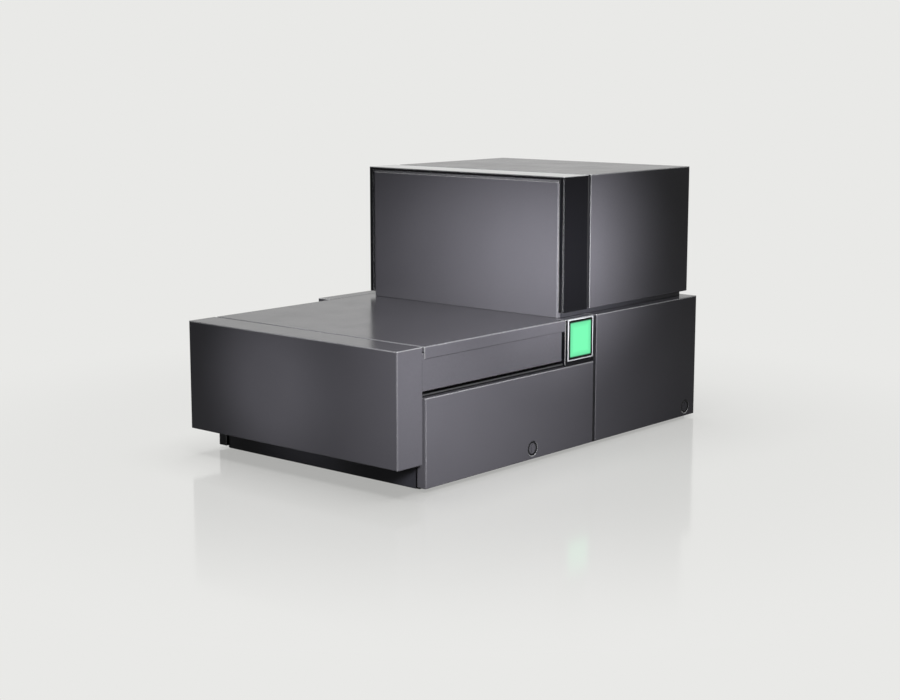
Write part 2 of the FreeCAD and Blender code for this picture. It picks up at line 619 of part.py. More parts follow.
def make_base_pan():
    body = solid("base_pan")
    half = PAN_HALF
    pad(body, "XY", ("foot_height", "foot_height + pan_rim"),
        rectangle((f"-({half})", half), ("pan_start", FRAME_END)))
    pocket(body, "XY", ("foot_height + frame_sheet", "foot_height + pan_rim + cutter"),
           rectangle((f"-({half}) + frame_sheet", f"{half} - frame_sheet"),
                     ("pan_start + frame_sheet", f"{FRAME_END} - frame_sheet")))
    holes = [(x, y, "foot_stud_radius") for x, y in FOOT_PLACES]
    pocket(body, "XY", ("foot_height - cutter", "foot_height + frame_sheet + cutter"), *holes)
    sub_part(body, "base_pan")


FOOT_X = "(body_width / 2 - panel_return - foot_inset_x)"
FOOT_PLACES = [(x, y)
               for y in ("pan_start + foot_inset_y", f"(pan_start + {FRAME_END}) / 2",
                         f"{FRAME_END} - foot_inset_y")
               for x in (f"-({FOOT_X})", FOOT_X)]


def make_base_feet():
    feet = []
    for index, (x, y) in enumerate(FOOT_PLACES):
        foot = solid(f"foot_{index}")
        revolve(foot, [("0", "0"), ("foot_radius - foot_chamfer", "0"), ("foot_radius", "foot_chamfer"),
                       ("foot_radius", "foot_height"), ("foot_stud_radius", "foot_height"),
                       ("foot_stud_radius", "foot_height + foot_stud_length"),
                       ("0", "foot_height + foot_stud_length")], x, y)
        feet.append(foot)
    sub_part(compound("base_feet", *feet), "base_feet")


def make_front_plinth():
    body = solid("front_plinth")
    half = f"{HALF} - plinth_inset"
    outline = channel(("plinth_setback", "plinth_setback + plinth_fold"),
                      ("foot_height + seat_gap", f"{TRAY_FLOOR} - plinth_clearance"), "panel_sheet", 1)
    outline[1] = ("pan_start", outline[1][1])
    outline[2] = ("pan_start", outline[2][1])
    pad(body, "YZ", (f"-({half})", half), outline)
    sub_part(body, "front_plinth")


def make_inner_walls():
    body = solid("inner_wall")
    pad(body, "XZ", ("pan_start + frame_sheet", f"{FRAME_END} - frame_sheet"),
        channel((f"{WALL_OUT} - wall_flange", WALL_OUT), (PAN_FLOOR, DECK_UNDER), "frame_sheet", -1))
    windows = [rectangle((f"window_start + {index} * window_pitch",
                          f"window_start + {index} * window_pitch + window_length"),
                         ("pan_rim + window_margin", f"{SLIDE_LOW} - window_margin")) for index in range(3)]
    pocket(body, "YZ", (f"{WALL_IN} - cutter", f"{WALL_OUT} + cutter"), *windows)
    pair(body, "inner_walls")


def make_bulkhead():
    body = solid("bulkhead")
    half = WALL_IN
    passage = f"{WALL_IN} - passage_margin"
    back = f"{BULKHEAD_FACE} + frame_sheet"
    pad(body, "XZ", (BULKHEAD_FACE, back),
        rectangle((f"-({half})", half), (f"{PAN_FLOOR} + frame_sheet", f"{DECK_UNDER} - frame_sheet")))
    pocket(body, "XZ", (f"{BULKHEAD_FACE} - cutter", f"{back} + cutter"),
           rectangle((f"-({passage})", passage), (f"{TRAY_FLOOR} - passage_clearance", SHUTTER_LOW)))
    sub_part(body, "bulkhead")


# Side panels and their locks

def make_side_panel(label, start, end, top, lock_y, flange):
    """A folded cover: face, four returned edges, a top flange and a hole for the lock."""
    body = solid(label)
    inner = f"{HALF} - panel_return"
    pad(body, "YZ", (inner, HALF), rectangle((start, end), ("panel_floor_gap", top)))
    pocket(body, "YZ", (f"{inner} - cutter", f"{HALF} - panel_sheet"),
           rectangle((f"{start} + panel_sheet", f"{end} - panel_sheet"),
                     ("panel_floor_gap + panel_sheet", f"{top} - panel_sheet")))
    if flange:
        pad(body, "YZ", (f"{HALF} - {flange}", f"{HALF} - panel_return"),
            rectangle((start, end), (f"{top} - panel_sheet", top)))
    soften(body, "edge_round", ("x", HALF))
    pocket(body, "YZ", (f"{HALF} - panel_sheet - cutter", f"{HALF} + cutter"),
           (lock_y, "lock_height", "lock_radius"))
    right = sub_part(body, label + "_right")
    mirrored_part(right, label + "_left")


def make_lock_ring(lock_y):
    """The fixed ring of a quarter-turn lock, flush with the panel."""
    start = (f"{HALF} - lock_depth", lock_y, "lock_height")
    return cut("lock_ring", rod("ring_out", "X", "lock_radius", start, "lock_depth"),
               rod("ring_in", "X", "lock_core_radius + play", (f"{HALF} - lock_depth - cutter", *start[1:]),
                   "lock_depth + 2 * cutter"))


def make_lock_core(lock_y, end):
    """The turning core of a quarter-turn lock: slotted head, shaft and cam."""
    centre = (lock_y, "lock_height")
    back = f"{HALF} - lock_depth - lock_shaft"
    head = rod("lock_head", "X", "lock_core_radius", (back, *centre), "lock_depth + lock_shaft - lock_recess")
    slot = box("lock_slot", (f"{HALF} - lock_recess - lock_slot_depth", f"{HALF} + cutter"),
               (f"{lock_y} - lock_slot_width / 2", f"{lock_y} + lock_slot_width / 2"),
               ("lock_height - 0.8 * lock_core_radius", "lock_height + 0.8 * lock_core_radius"))
    cam = box("lock_cam", (f"{back} - lock_cam_thickness", back),
              (f"{lock_y} - lock_cam_width / 2", f"{lock_y} + lock_cam_width / 2"),
              ("lock_height - lock_cam_reach", "lock_height + lock_cam_width / 2"))
    core = fuse("lock_core", cut("slotted_head", head, slot), cam)
    right = sub_part(core, f"lock_{end}_right")
    mirrored_part(right, f"lock_{end}_left")


def make_sides():
    make_side_panel("side_panel_front", "0", PANEL_SPLIT, LOW_PANEL_TOP, "lock_front_y", None)
    make_side_panel("side_panel_rear", REAR_START, "body_depth", "deck_height", LOCK_REAR_Y, "ledge_return")
    rings = [make_lock_ring(y) for y in ("lock_front_y", LOCK_REAR_Y)]
    pair(compound("rings_right", *rings), "lock_rings")
    make_lock_core("lock_front_y", "front")
    make_lock_core(LOCK_REAR_Y, "rear")


# Deck

def make_deck_cover():
    """Top cover with down-turned edges, notched at the back right for the display."""
    body = solid("deck_cover")
    half, notch = DECK_HALF, NOTCH
    low = "deck_height - lip_height"
    pad(body, "XY", (low, "deck_height"),
        [(f"-({half})", "0"), (half, "0"), (half, DISPLAY_FRONT), (notch, DISPLAY_FRONT),
         (notch, TOWER_END), (f"-({half})", TOWER_END)])
    inner = f"{half} - panel_sheet"
    side, back = f"{notch} + cutter", f"{TOWER_END} + cutter"
    corner = f"{DISPLAY_FRONT} + cutter"
    pocket(body, "XY", (f"{low} - cutter", DECK_UNDER),
           [(f"-({inner})", "panel_sheet"), (inner, "panel_sheet"), (inner, corner), (side, corner),
            (side, back), (f"-({inner})", back)])
    pocket(body, "XY", (f"{low} - cutter", f"{SKIRT_HIGH} + lip_clearance"),
           rectangle((f"-({inner})", inner), ("-cutter", "panel_sheet + cutter")))
    soften(body, "edge_round", ("z", "deck_height"))
    sub_part(body, "deck_cover")


# Drawer front, skirts and slides

def make_drawer_front():
    body = solid("drawer_front")
    half = DECK_HALF
    pad(body, "XZ", (DRAWER_FACE, "-drawer_gap"),
        rectangle((f"-({half})", half), ("drawer_low", "deck_height")))
    pocket(body, "XZ", (f"{DRAWER_FACE} + drawer_sheet", "-drawer_gap + cutter"),
           rectangle((f"-({half}) + drawer_sheet", f"{half} - drawer_sheet"),
                     ("drawer_low + drawer_sheet", "deck_height - drawer_sheet")))
    soften(body, "edge_round", ("y", DRAWER_FACE))
    sub_part(body, "drawer_front")


def make_drawer_back_plate():
    half = f"({DECK_HALF} - drawer_sheet)"
    plate = box("drawer_back_plate", (f"-({half})", half), ("-drawer_gap - frame_sheet", "-drawer_gap"),
                ("drawer_low + drawer_sheet", "deck_height - drawer_sheet"))
    sub_part(plate, "drawer_back_plate")


def make_drawer_skirts():
    body = solid("drawer_skirt")
    half = SKIRT_HALF
    pad(body, "XZ", ("-drawer_gap", f"{DISPLAY_FRONT} - skirt_gap"),
        channel((f"{half} - skirt_flange", half), (SKIRT_LOW, SKIRT_HIGH), "panel_sheet", -1))
    pair(body, "drawer_skirts")


def make_skirt_rails():
    rail = box("skirt_rail", (WALL_OUT, SKIRT_HALF),
               ("-drawer_gap + rail_setback", f"{DISPLAY_FRONT} - rail_gap"),
               (RAIL_LOW, f"{RAIL_LOW} + rail_thickness"))
    pair(rail, "skirt_rails")


def make_drawer_pan():
    """Folded pan whose floor is forked at the back, so that it passes the lift."""
    body = solid("drawer_pan")
    half = TRAY_HALF
    inner = f"{half} - frame_sheet"
    top = f"{TRAY_FLOOR} + tray_wall_height"
    pad(body, "XZ", ("-drawer_gap", TRAY_END),
        [(f"-({half})", TRAY_FLOOR), (half, TRAY_FLOOR), (half, top), (inner, top), (inner, TRAY_TOP),
         (f"-({inner})", TRAY_TOP), (f"-({inner})", top), (f"-({half})", top)])
    fork = "lift_guide_radius + fork_margin"
    pocket(body, "XY", (f"{TRAY_FLOOR} - cutter", f"{TRAY_TOP} + cutter"),
           rectangle((f"-({fork})", fork), (f"lift_y - {LIFT_FLANGE}", f"{TRAY_END} + cutter")))
    sub_part(body, "drawer_pan")


def slide_member(name, x, margin, open_side):
    """One rolled profile of a telescopic slide."""
    body = solid(name)
    pad(body, "XZ", ("slide_start", SLIDE_END),
        channel(x, (f"{SLIDE_LOW} + {margin}", f"{SLIDE_LOW} + slide_height - {margin}"),
                "slide_sheet", open_side))
    return body


def make_slides():
    pan_face = TRAY_HALF
    step = "(slide_sheet + play)"
    pair(slide_member("slide_outer", (f"{pan_face} + {step}", WALL_IN), "0", -1),
         "slide_outer_members")
    pair(slide_member("slide_middle", (f"{pan_face} + {step}", f"{WALL_IN} - {step}"), step, -1),
         "slide_middle_members")
    pair(slide_member("slide_inner", (pan_face, f"{WALL_IN} - 2 * {step}"), f"2 * {step}", 1),
         "slide_inner_members")


# Sample tray

def make_tray_rails():
    rail = box("tray_rail", (GUIDE_X, f"{GUIDE_X} + guide_width"),
               ("guide_start", f"{TRAY_END} - guide_margin"), (TRAY_TOP, f"{TRAY_TOP} + guide_height"))
    pair(rail, "tray_rails")


def make_tray_carriage():
    """Two runner bars on the pan's rails, tied by two cross guides; its middle is clear for the lift."""
    runner = box("runner_bar", (f"{GUIDE_X} - carriage_lap", f"{GUIDE_X} + guide_width + carriage_lap"),
                 (CARRIAGE_START, CARRIAGE_END), (CARRIAGE_LOW, CARRIAGE_TOP))
    reach = f"{GUIDE_X} + guide_width"
    guides = [box("cross_guide", (f"-({reach})", reach), (low, f"{low} + guide_height"),
                  (CARRIAGE_TOP, f"{CARRIAGE_TOP} + guide_height"))
              for low in (f"{CARRIAGE_START} + way_setback", f"{CARRIAGE_END} - way_setback - guide_height")]
    sub_part(compound("tray_carriage", runner, mirror("runner_bar_left", runner), *guides), "tray_carriage")


def row_middle(rack, row):
    """Middle of a vial row, from the front plane."""
    return f"(rack_start + {rack} * ({RACK_LENGTH} + rack_gap) + rack_wall / 2 + {row + 0.5} * rack_pitch)"


def make_rack_tray():
    """Plate that carries both racks, with an open slot under every row."""
    body = solid("rack_tray")
    half = f"{RACK_HALF} + rack_tray_lap"
    pad(body, "XY", (RACK_TRAY_LOW, RACK_LOW),
        rectangle((f"-({half})", half), (CARRIAGE_START, CARRIAGE_END)))
    reach = "(rack_slot / 2 + tray_slot_margin)"
    slots = [rectangle((f"-({RACK_HALF}) + rack_end_wall", f"{RACK_HALF} - rack_end_wall"),
                       (f"{row_middle(rack, row)} - {reach}", f"{row_middle(rack, row)} + {reach}"))
             for rack in range(2) for row in range(ROWS)]
    pocket(body, "XY", (f"{RACK_TRAY_LOW} - cutter", f"{RACK_LOW} + cutter"), *slots)
    sub_part(body, "rack_tray")


def make_vial_rack(rack, label):
    """A rack of open rows: vials stand on two ledges and between short ribs."""
    body = solid(label)
    start = f"rack_start + {rack} * ({RACK_LENGTH} + rack_gap)"
    pad(body, "XY", (RACK_LOW, f"{RACK_LOW} + rack_height"),
        rectangle((f"-({RACK_HALF})", RACK_HALF), (start, f"{start} + {RACK_LENGTH}")))
    for row in range(ROWS):
        middle = row_middle(rack, row)
        open_half = "(rack_pitch - rack_wall) / 2"
        outline = comb(middle, open_half)
        pocket(body, "XY", (f"{RACK_LOW} + rack_ledge", f"{RACK_LOW} + rack_height + cutter"), outline)
        pocket(body, "XY", (f"{RACK_LOW} - cutter", f"{RACK_LOW} + rack_ledge + cutter"),
               rectangle((f"-({RACK_HALF}) + rack_end_wall", f"{RACK_HALF} - rack_end_wall"),
                         (f"{middle} - rack_slot / 2", f"{middle} + rack_slot / 2")))
    sub_part(body, label)


def comb(middle, open_half):
    """The outline of one vial row: a long opening with a pair of ribs between vials."""
    near, far = [], []
    for column in range(COLUMNS):
        left = f"{column - COLUMNS / 2} * rack_pitch + rib_thickness / 2"
        right = f"{column + 1 - COLUMNS / 2} * rack_pitch - rib_thickness / 2"
        edge = f"{middle} - {open_half}"
        near += [(left, f"{edge}"), (right, f"{edge}")]
        far += [(left, f"{middle} + {open_half}"), (right, f"{middle} + {open_half}")]
        if column < COLUMNS - 1:
            after = f"{column + 1 - COLUMNS / 2} * rack_pitch + rib_thickness / 2"
            near += [(right, f"{edge} + rib_reach"), (after, f"{edge} + rib_reach")]
            far += [(right, f"{middle} + {open_half} - rib_reach"),
                    (after, f"{middle} + {open_half} - rib_reach")]
    return near + far[::-1]


# Lift

def tube(name, outer, inner, low, high, x="0", y="lift_y"):
    """An upright tube."""
    body = solid(name)
    revolve(body, [(inner, low), (outer, low), (outer, high), (inner, high)], x, y)
    return body


def make_lift():
    floor = PAN_FLOOR
    guide = solid("lift_guide")
    bore = "lift_sleeve_radius + play"
    step = f"{floor} + lift_flange_height"
    cup_foot = f"{LIFT_TOP} - lift_cup_height"
    revolve(guide, [(bore, floor), (LIFT_FLANGE, floor), (LIFT_FLANGE, step), ("lift_guide_radius", step),
                    ("lift_guide_radius", cup_foot), (bore, cup_foot)], "0", "lift_y")
    sub_part(guide, "lift_guide")
    sub_part(tube("lift_sleeve", "lift_sleeve_radius", "lift_piston_radius + play",
                  f"{floor} + lift_end_gap", cup_foot), "lift_sleeve")
    piston = solid("lift_piston")
    cup_low = f"{cup_foot} + lift_end_gap"
    cup, foot = "lift_sleeve_radius - lift_cup_inset", f"{floor} + 2 * lift_end_gap"
    dish = f"{LIFT_TOP} - lift_cup_dish"
    revolve(piston, [("0", foot), ("lift_piston_radius", foot), ("lift_piston_radius", cup_low),
                     (cup, cup_low), (cup, LIFT_TOP), ("lift_piston_radius", LIFT_TOP),
                     ("lift_piston_radius - lift_cup_dish", dish), ("0", dish)], "0", "lift_y")
    sub_part(piston, "lift_piston")
    half, belt = "motor_size / 2", "belt_cover_width / 2"
    can_top = f"{PAN_FLOOR} + motor_length"
    belt_low = f"{can_top} + motor_boss_height"
    motor = fuse("lift_motor_body",
                 box("motor_can", (LIFT_FLANGE, f"{LIFT_FLANGE} + motor_size"),
                     (f"lift_y - {half}", f"lift_y + {half}"), (PAN_FLOOR, can_top)),
                 rod("motor_boss", "Z", "motor_boss_radius", (f"{LIFT_FLANGE} + {half}", "lift_y", can_top),
                     "motor_boss_height"),
                 box("belt_cover", ("lift_guide_radius", f"{LIFT_FLANGE} + motor_size"),
                     (f"lift_y - {belt}", f"lift_y + {belt}"), (belt_low, f"{belt_low} + belt_cover_height")))
    sub_part(motor, "lift_motor")


# Shutter

PIVOT_Y = "(lift_y + shutter_arm)"


def make_shutter():
    """A light-tight disc under the shielding; its long window lets the lift pass."""
    rim = "shutter_radius + shutter_rim_gap"
    below = f"{SHUTTER_LOW} - cutter"
    through = "shutter_housing_height + 2 * cutter"
    housing = cut(
        "shutter_housing_body",
        rod("housing_out", "Z", f"{rim} + shutter_wall", ("0", PIVOT_Y, SHUTTER_LOW), "shutter_housing_height"),
        rod("housing_in", "Z", rim, ("0", PIVOT_Y, f"{SHUTTER_LOW} + shutter_wall"),
            "shutter_housing_height - 2 * shutter_wall"),
        rod("housing_bore", "Z", "bore_radius", ("0", "lift_y", below), through),
        rod("pivot_hole", "Z", "pivot_radius", ("0", PIVOT_Y, below), through))
    sub_part(housing, "shutter_housing")
    disc_low = f"{SHUTTER_LOW} + (shutter_housing_height - shutter_thickness) / 2"
    plate = rod("disc_plate", "Z", "shutter_radius", ("0", PIVOT_Y, disc_low), "shutter_thickness")
    pivot = rod("disc_pivot", "Z", "pivot_radius - play", ("0", PIVOT_Y, f"{SHUTTER_LOW} + seat_gap"),
                "shutter_housing_height - 2 * seat_gap")
    reach = "bore_radius + shutter_window_gap"
    window = cut("window_ring",
                 rod("window_out", "Z", f"shutter_arm + {reach}",
                     ("0", PIVOT_Y, f"{disc_low} - cutter"), "shutter_thickness + 2 * cutter"),
                 rod("window_in", "Z", f"shutter_arm - ({reach})",
                     ("0", PIVOT_Y, f"{disc_low} - 2 * cutter"), "shutter_thickness + 4 * cutter"))
    sector = doc.addObject("Part::Cylinder", "window_sector")
    bind(sector, Radius="shutter_radius", Height="shutter_thickness + 2 * cutter")
    sector.Angle = WINDOW_SPAN
    turn = FreeCAD.Rotation(FreeCAD.Vector(0, 0, 1), -90 - WINDOW_LEAD - WINDOW_SPAN)
    sector.Placement = FreeCAD.Placement(FreeCAD.Vector(), turn)
    put(sector, "0", PIVOT_Y, f"{disc_low} - cutter")
    opening = doc.addObject("Part::Common", "window")
    opening.Base = window
    opening.Tool = sector
    sub_part(fuse("shutter_disc_body", cut("windowed_disc", plate, opening), pivot), "shutter_disc")


# The window starts this many degrees from the bore and is this many degrees long.
WINDOW_LEAD = 19.0
WINDOW_SPAN = 148.0


# Lead shielding and detector

def make_shield():
    lower = solid("lead_shield_lower")
    revolve(lower, [("bore_radius", SHUTTER_TOP), ("plug_radius", SHUTTER_TOP),
                    ("plug_radius", TOWER_LOW), ("shield_radius", TOWER_LOW),
                    ("shield_radius", SHIELD_FLOOR), ("bore_radius", SHIELD_FLOOR)], "0", "lift_y")
    sub_part(lower, "lead_shield_lower")
    ring = rod("ring_blank", "Z", "shield_radius", ("0", "lift_y", SHIELD_FLOOR), "shield_ring_height")
    well = rod("ring_well", "Z", "chamber_radius + shield_play", ("0", "lift_y", f"{SHIELD_FLOOR} - cutter"),
               "shield_ring_height + 2 * cutter")
    channels = [radial_rod("channel", angle, "tube_radius + shield_play", "bore_radius", "shield_radius")
                for angle in TUBE_ANGLES]
    sub_part(cut("lead_shield_ring_body", ring, well, *channels), "lead_shield_ring")
    cap = solid("lead_shield_cap")
    revolve(cap, [("0", SHIELD_RING_TOP), ("shield_radius", SHIELD_RING_TOP),
                  ("shield_radius", f"{SHIELD_TOP} - shield_chamfer"),
                  ("shield_radius - shield_chamfer", SHIELD_TOP), ("0", SHIELD_TOP)], "0", "lift_y")
    sub_part(cap, "lead_shield_cap")


TUBE_ANGLES = (90, 210, 330)
TUBE_HEIGHT = f"({SHIELD_FLOOR} + shield_ring_height / 2)"


def radial_rod(name, angle, radius, start, length):
    """A cylinder that points outwards from the chamber's axis."""
    piece = doc.addObject("Part::Cylinder", name)
    bind(piece, Radius=radius, Height=length)
    spin = FreeCAD.Rotation(FreeCAD.Vector(0, 0, 1), angle)
    tip = FreeCAD.Rotation(FreeCAD.Vector(0, 1, 0), 90)
    piece.Placement = FreeCAD.Placement(FreeCAD.Vector(), spin * tip)
    return put(piece, f"({start}) * cos({angle} deg)", f"lift_y + ({start}) * sin({angle} deg)",
               TUBE_HEIGHT)


def make_detector():
    height = "shield_ring_height - seat_gap"
    blank = rod("chamber_blank", "Z", "chamber_radius", ("0", "lift_y", SHIELD_FLOOR), height)
    bore = rod("chamber_bore", "Z", "bore_radius - chamber_lining", ("0", "lift_y", f"{SHIELD_FLOOR} - cutter"),
               f"{height} - chamber_roof + cutter")
    ports = [radial_rod("port", angle, "tube_radius - port_lip", "bore_radius / 2", "chamber_radius")
             for angle in TUBE_ANGLES]
    sub_part(cut("chamber_body", blank, bore, *ports), "measuring_chamber")
    tubes, sockets = [], []
    for angle in TUBE_ANGLES:
        face = "chamber_radius"
        wide = "tube_length - tube_neck_length"
        tubes.append(fuse("tube_body", radial_rod("tube_front", angle, "tube_radius", face, wide),
                          radial_rod("tube_neck", angle, "tube_radius - tube_neck_step", f"{face} + {wide}",
                                     "tube_neck_length")))
        sockets.append(radial_rod("tube_socket", angle, "tube_radius + socket_lap", f"{face} + tube_length",
                                  "socket_length"))
    sub_part(compound("photomultiplier_tubes", *tubes), "photomultiplier_tubes")
    sub_part(compound("tube_sockets", *sockets), "tube_sockets")


# Tower

def make_tower_base():
    plate = box("base_plate", (f"-({BASE_HALF})", BASE_HALF), (f"{TOWER_FRONT} + base_setback", BASE_BACK),
                ("deck_height", TOWER_LOW))
    bore = rod("base_bore", "Z", "plug_radius + seat_gap", ("0", "lift_y", "deck_height - cutter"),
               "tower_base_height + 2 * cutter")
    sub_part(cut("tower_base_body", plate, bore), "tower_base")


def make_tower_frame():
    """Gloss picture frame: an inverted U with a narrow front border and inward feet."""
    body = solid("tower_frame")
    half = TOWER_HALF
    inner = f"{half} - hood_wall"
    rim = f"{half} - hood_border"
    foot = f"{BASE_HALF} - hood_foot"
    behind = (f"{TOWER_FRONT} + hood_wall", f"{TOWER_END} + cutter")
    under = (f"{TOWER_LOW} - cutter", f"{TOWER_LOW} + hood_wall + cutter")
    pad(body, "XZ", (TOWER_FRONT, TOWER_END), rectangle((f"-({half})", half), (TOWER_LOW, "total_height")))
    pocket(body, "XZ", (f"{TOWER_FRONT} - cutter", f"{TOWER_FRONT} + hood_wall + cutter"),
           rectangle((f"-({rim})", rim), (under[0], "total_height - hood_border_top")))
    pocket(body, "XZ", behind,
           rectangle((f"-({inner})", inner), (f"{TOWER_LOW} + hood_wall", "total_height - hood_wall")))
    pocket(body, "XZ", behind, rectangle((f"-({foot})", foot), under))
    pocket(body, "XZ", (f"{TOWER_FRONT} + hood_wall - cutter", f"{TOWER_FRONT} + base_setback"),
           rectangle((f"-({rim})", rim), under))
    soften(body, "edge_round", ("y", TOWER_FRONT))
    sub_part(body, "tower_frame")


def make_tower_front_panel():
    """Folded panel with an outward flange that shuts the shadow gap to the gloss frame."""
    body = solid("tower_front_panel")
    half = f"({TOWER_HALF} - hood_border - front_panel_gap)"
    face = f"{TOWER_FRONT} + front_panel_setback"
    top = "total_height - hood_border_top - front_panel_gap"
    pad(body, "XZ", (face, f"{face} + front_panel_depth"),
        rectangle((f"-({half})", half), ("deck_height", top)))
    side, lid = f"{half} + front_panel_flange", f"{top} + front_panel_flange"
    low, start = f"{TOWER_LOW} + hood_wall + play", f"{TOWER_FRONT} + hood_wall + play"
    pad(body, "XZ", (start, f"{start} + panel_sheet"), rectangle((f"-({side})", side), (low, lid)))
    pocket(body, "XZ", (f"{face} + panel_sheet", f"{face} + front_panel_depth + cutter"),
           rectangle((f"-({half}) + panel_sheet", f"{half} - panel_sheet"),
                     ("deck_height + panel_sheet", f"{top} - panel_sheet")))
    soften(body, "edge_round", ("y", face))
    sub_part(body, "tower_front_panel")


def make_tower_casing():
    """Rear shell: two walls, a roof and inward feet; open at both ends."""
    body = solid("tower_casing")
    half = CASING_HALF
    inner = f"{half} - panel_sheet"
    foot = f"{half} - casing_flange"
    floor, roof = f"{TOWER_LOW} + panel_sheet", "total_height - panel_sheet"
    pad(body, "XZ", (CASING_FRONT, CASING_BACK),
        [(f"-({half})", TOWER_LOW), (f"-({foot})", TOWER_LOW), (f"-({foot})", floor), (f"-({inner})", floor),
         (f"-({inner})", roof), (inner, roof), (inner, floor), (foot, floor),
         (foot, TOWER_LOW), (half, TOWER_LOW), (half, "total_height"), (f"-({half})", "total_height")])
    round_long_edges(body, CASING_HALF, "total_height")
    sub_part(body, "tower_casing")


def round_long_edges(body, x, z):
    """Round the two long top edges of a shell that runs along Y."""
    doc.recompute([body])
    tip = body.Tip
    names = []
    for index, edge in enumerate(tip.Shape.Edges, start=1):
        bounds = edge.BoundBox
        at_side = abs(abs(bounds.XMin) - number(x)) < 1e-4 and bounds.XLength < 1e-4
        at_top = abs(bounds.ZMin - number(z)) < 1e-4 and bounds.ZLength < 1e-4
        if at_side and at_top:
            names.append(f"Edge{index}")
    feature = body.newObject("PartDesign::Fillet", body.Name + "_round")
    feature.Base = (tip, names)
    bind(feature, Radius="edge_round")


def make_tower_gasket():
    """Foam strip that closes the shadow gap between the gloss frame and the rear shell."""
    body = solid("tower_gasket")
    half = f"({CASING_HALF} - panel_sheet)"
    low, high = f"{TOWER_LOW} + hood_wall", "total_height - hood_wall"
    inner = f"{half} - gasket_thickness"
    under = f"{high} - gasket_roof"
    pad(body, "XZ", (f"{TOWER_END} - gasket_lap", f"{CASING_FRONT} + gasket_lap"),
        [(f"-({half})", low), (f"-({inner})", low), (f"-({inner})", under), (inner, under), (inner, low),
         (half, low), (half, high), (f"-({half})", high)])
    sub_part(body, "tower_gasket")


def vent(x, top):
    """The outline of an upright vent slot below a height."""
    return rectangle((f"{x} - vent_width / 2", f"{x} + vent_width / 2"), (f"{top} - vent_height", top))


def make_tower_rear_cover():
    """Plate that closes the rear shell, with two rows of upright vent slots."""
    body = solid("tower_rear_cover")
    half = f"({CASING_HALF} - panel_sheet)"
    back = f"({CASING_BACK} - cover_setback)"
    pad(body, "XZ", (f"{back} - panel_sheet", back),
        rectangle((f"-({half})", half), (f"{TOWER_LOW} + panel_sheet", "total_height - panel_sheet")))
    slots = [vent(f"{side} * (tower_vent_x + {index} * vent_pitch)", "total_height - tower_vent_drop")
             for side in (-1, 1) for index in range(10)]
    holes = [(x, z, "screw_radius") for x, z in TOWER_SCREWS]
    pocket(body, "XZ", (f"{back} - panel_sheet - cutter", f"{back} + cutter"), *slots, *holes)
    sub_part(body, "tower_rear_cover")


# Status display

def make_display():
    """Housing at the deck's right edge, square bezel, lit screen and the board behind it."""
    face = f"({HALF} - panel_sheet)"
    inset = "bezel_border"
    window = ((f"{BEZEL_START} + {inset}", f"{BEZEL_START} + bezel_width - {inset}"),
              (f"{BEZEL_LOW} + {inset}", f"{BEZEL_LOW} + bezel_width - {inset}"))
    ends = (DISPLAY_FRONT, TOWER_END)
    shell = fuse("housing_blocks",
                 box("housing_block", (WALL_OUT, face), ends, (DISPLAY_LOW, DECK_UNDER)),
                 box("housing_ledge", (NOTCH, face), ends, (DECK_UNDER, "deck_height")))
    housing = cut("housing_shell", shell,
                  box("housing_hollow", (f"{WALL_OUT} - cutter", f"{face} - housing_wall"),
                      (f"{DISPLAY_FRONT} + housing_wall", f"{TOWER_END} - housing_wall"),
                      (f"{DISPLAY_LOW} + housing_wall", f"{DECK_UNDER} - housing_wall")),
                  box("housing_window", (f"{face} - housing_wall - cutter", f"{face} + cutter"), *window))
    sub_part(housing, "display_housing")
    bezel = solid("display_bezel")
    pad(bezel, "YZ", (face, HALF), rectangle((BEZEL_START, f"{BEZEL_START} + bezel_width"),
                                             (BEZEL_LOW, f"{BEZEL_LOW} + bezel_width")))
    pocket(bezel, "YZ", (f"{face} - cutter", f"{HALF} + cutter"), rectangle(*window))
    soften(bezel, "bezel_round", ("x", HALF))
    sub_part(bezel, "display_bezel")
    glass_back = f"{face} + screen_proud - screen_thickness"
    sub_part(box("status_screen", (glass_back, f"{face} + screen_proud"), *window), "status_screen")
    lamp_back = f"{glass_back} - backlight_thickness"
    board_back = f"{lamp_back} - display_board_sheet"
    middle = (f"{BEZEL_START} + bezel_width / 2", f"{BEZEL_LOW} + bezel_width / 4")
    board = fuse("board_body",
                 box("board_sheet", (board_back, lamp_back), *inside_bezel("display_board_margin")),
                 box("backlight", (lamp_back, glass_back), *inside_bezel("2 * display_board_margin")),
                 box("connector", (f"{board_back} - connector_depth", board_back),
                     (f"{middle[0]} - connector_length / 2", f"{middle[0]} + connector_length / 2"),
                     (f"{middle[1]} - connector_width / 2", f"{middle[1]} + connector_width / 2")))
    sub_part(board, "display_board")


def inside_bezel(margin):
    """The two spans of a square that lies inside the bezel's outline."""
    return ((f"{BEZEL_START} + {margin}", f"{BEZEL_START} + bezel_width - {margin}"),
            (f"{BEZEL_LOW} + {margin}", f"{BEZEL_LOW} + bezel_width - {margin}"))


# Side air duct

def make_side_duct():
    """Folded cover on the left side that leads air to the cooled detector."""
    body = solid("side_duct")
    face = f"-({HALF})"
    pad(body, "YZ", (f"{face} - duct_reach", face),
        rectangle(("duct_start", "duct_end"), ("duct_low", "deck_height")))
    pocket(body, "YZ", (f"{face} - duct_reach + panel_sheet", f"{face} + cutter"),
           rectangle(("duct_start + panel_sheet", "duct_end - panel_sheet"),
                     ("duct_low + panel_sheet", "deck_height - panel_sheet")))
    soften(body, "edge_round", ("x", f"{face} - duct_reach"))
    slots = []
    for index in range(18):
        front = f"duct_start + duct_vent_start + {index} * duct_vent_pitch"
        slots.append(rectangle((f"{face} - duct_reach + duct_vent_margin", f"{face} - duct_vent_margin"),
                               (front, f"{front} + vent_width")))
    pocket(body, "XY", ("duct_low - cutter", "duct_low + panel_sheet + cutter"), *slots)
    sub_part(body, "side_duct")


# Rear panel and its fittings

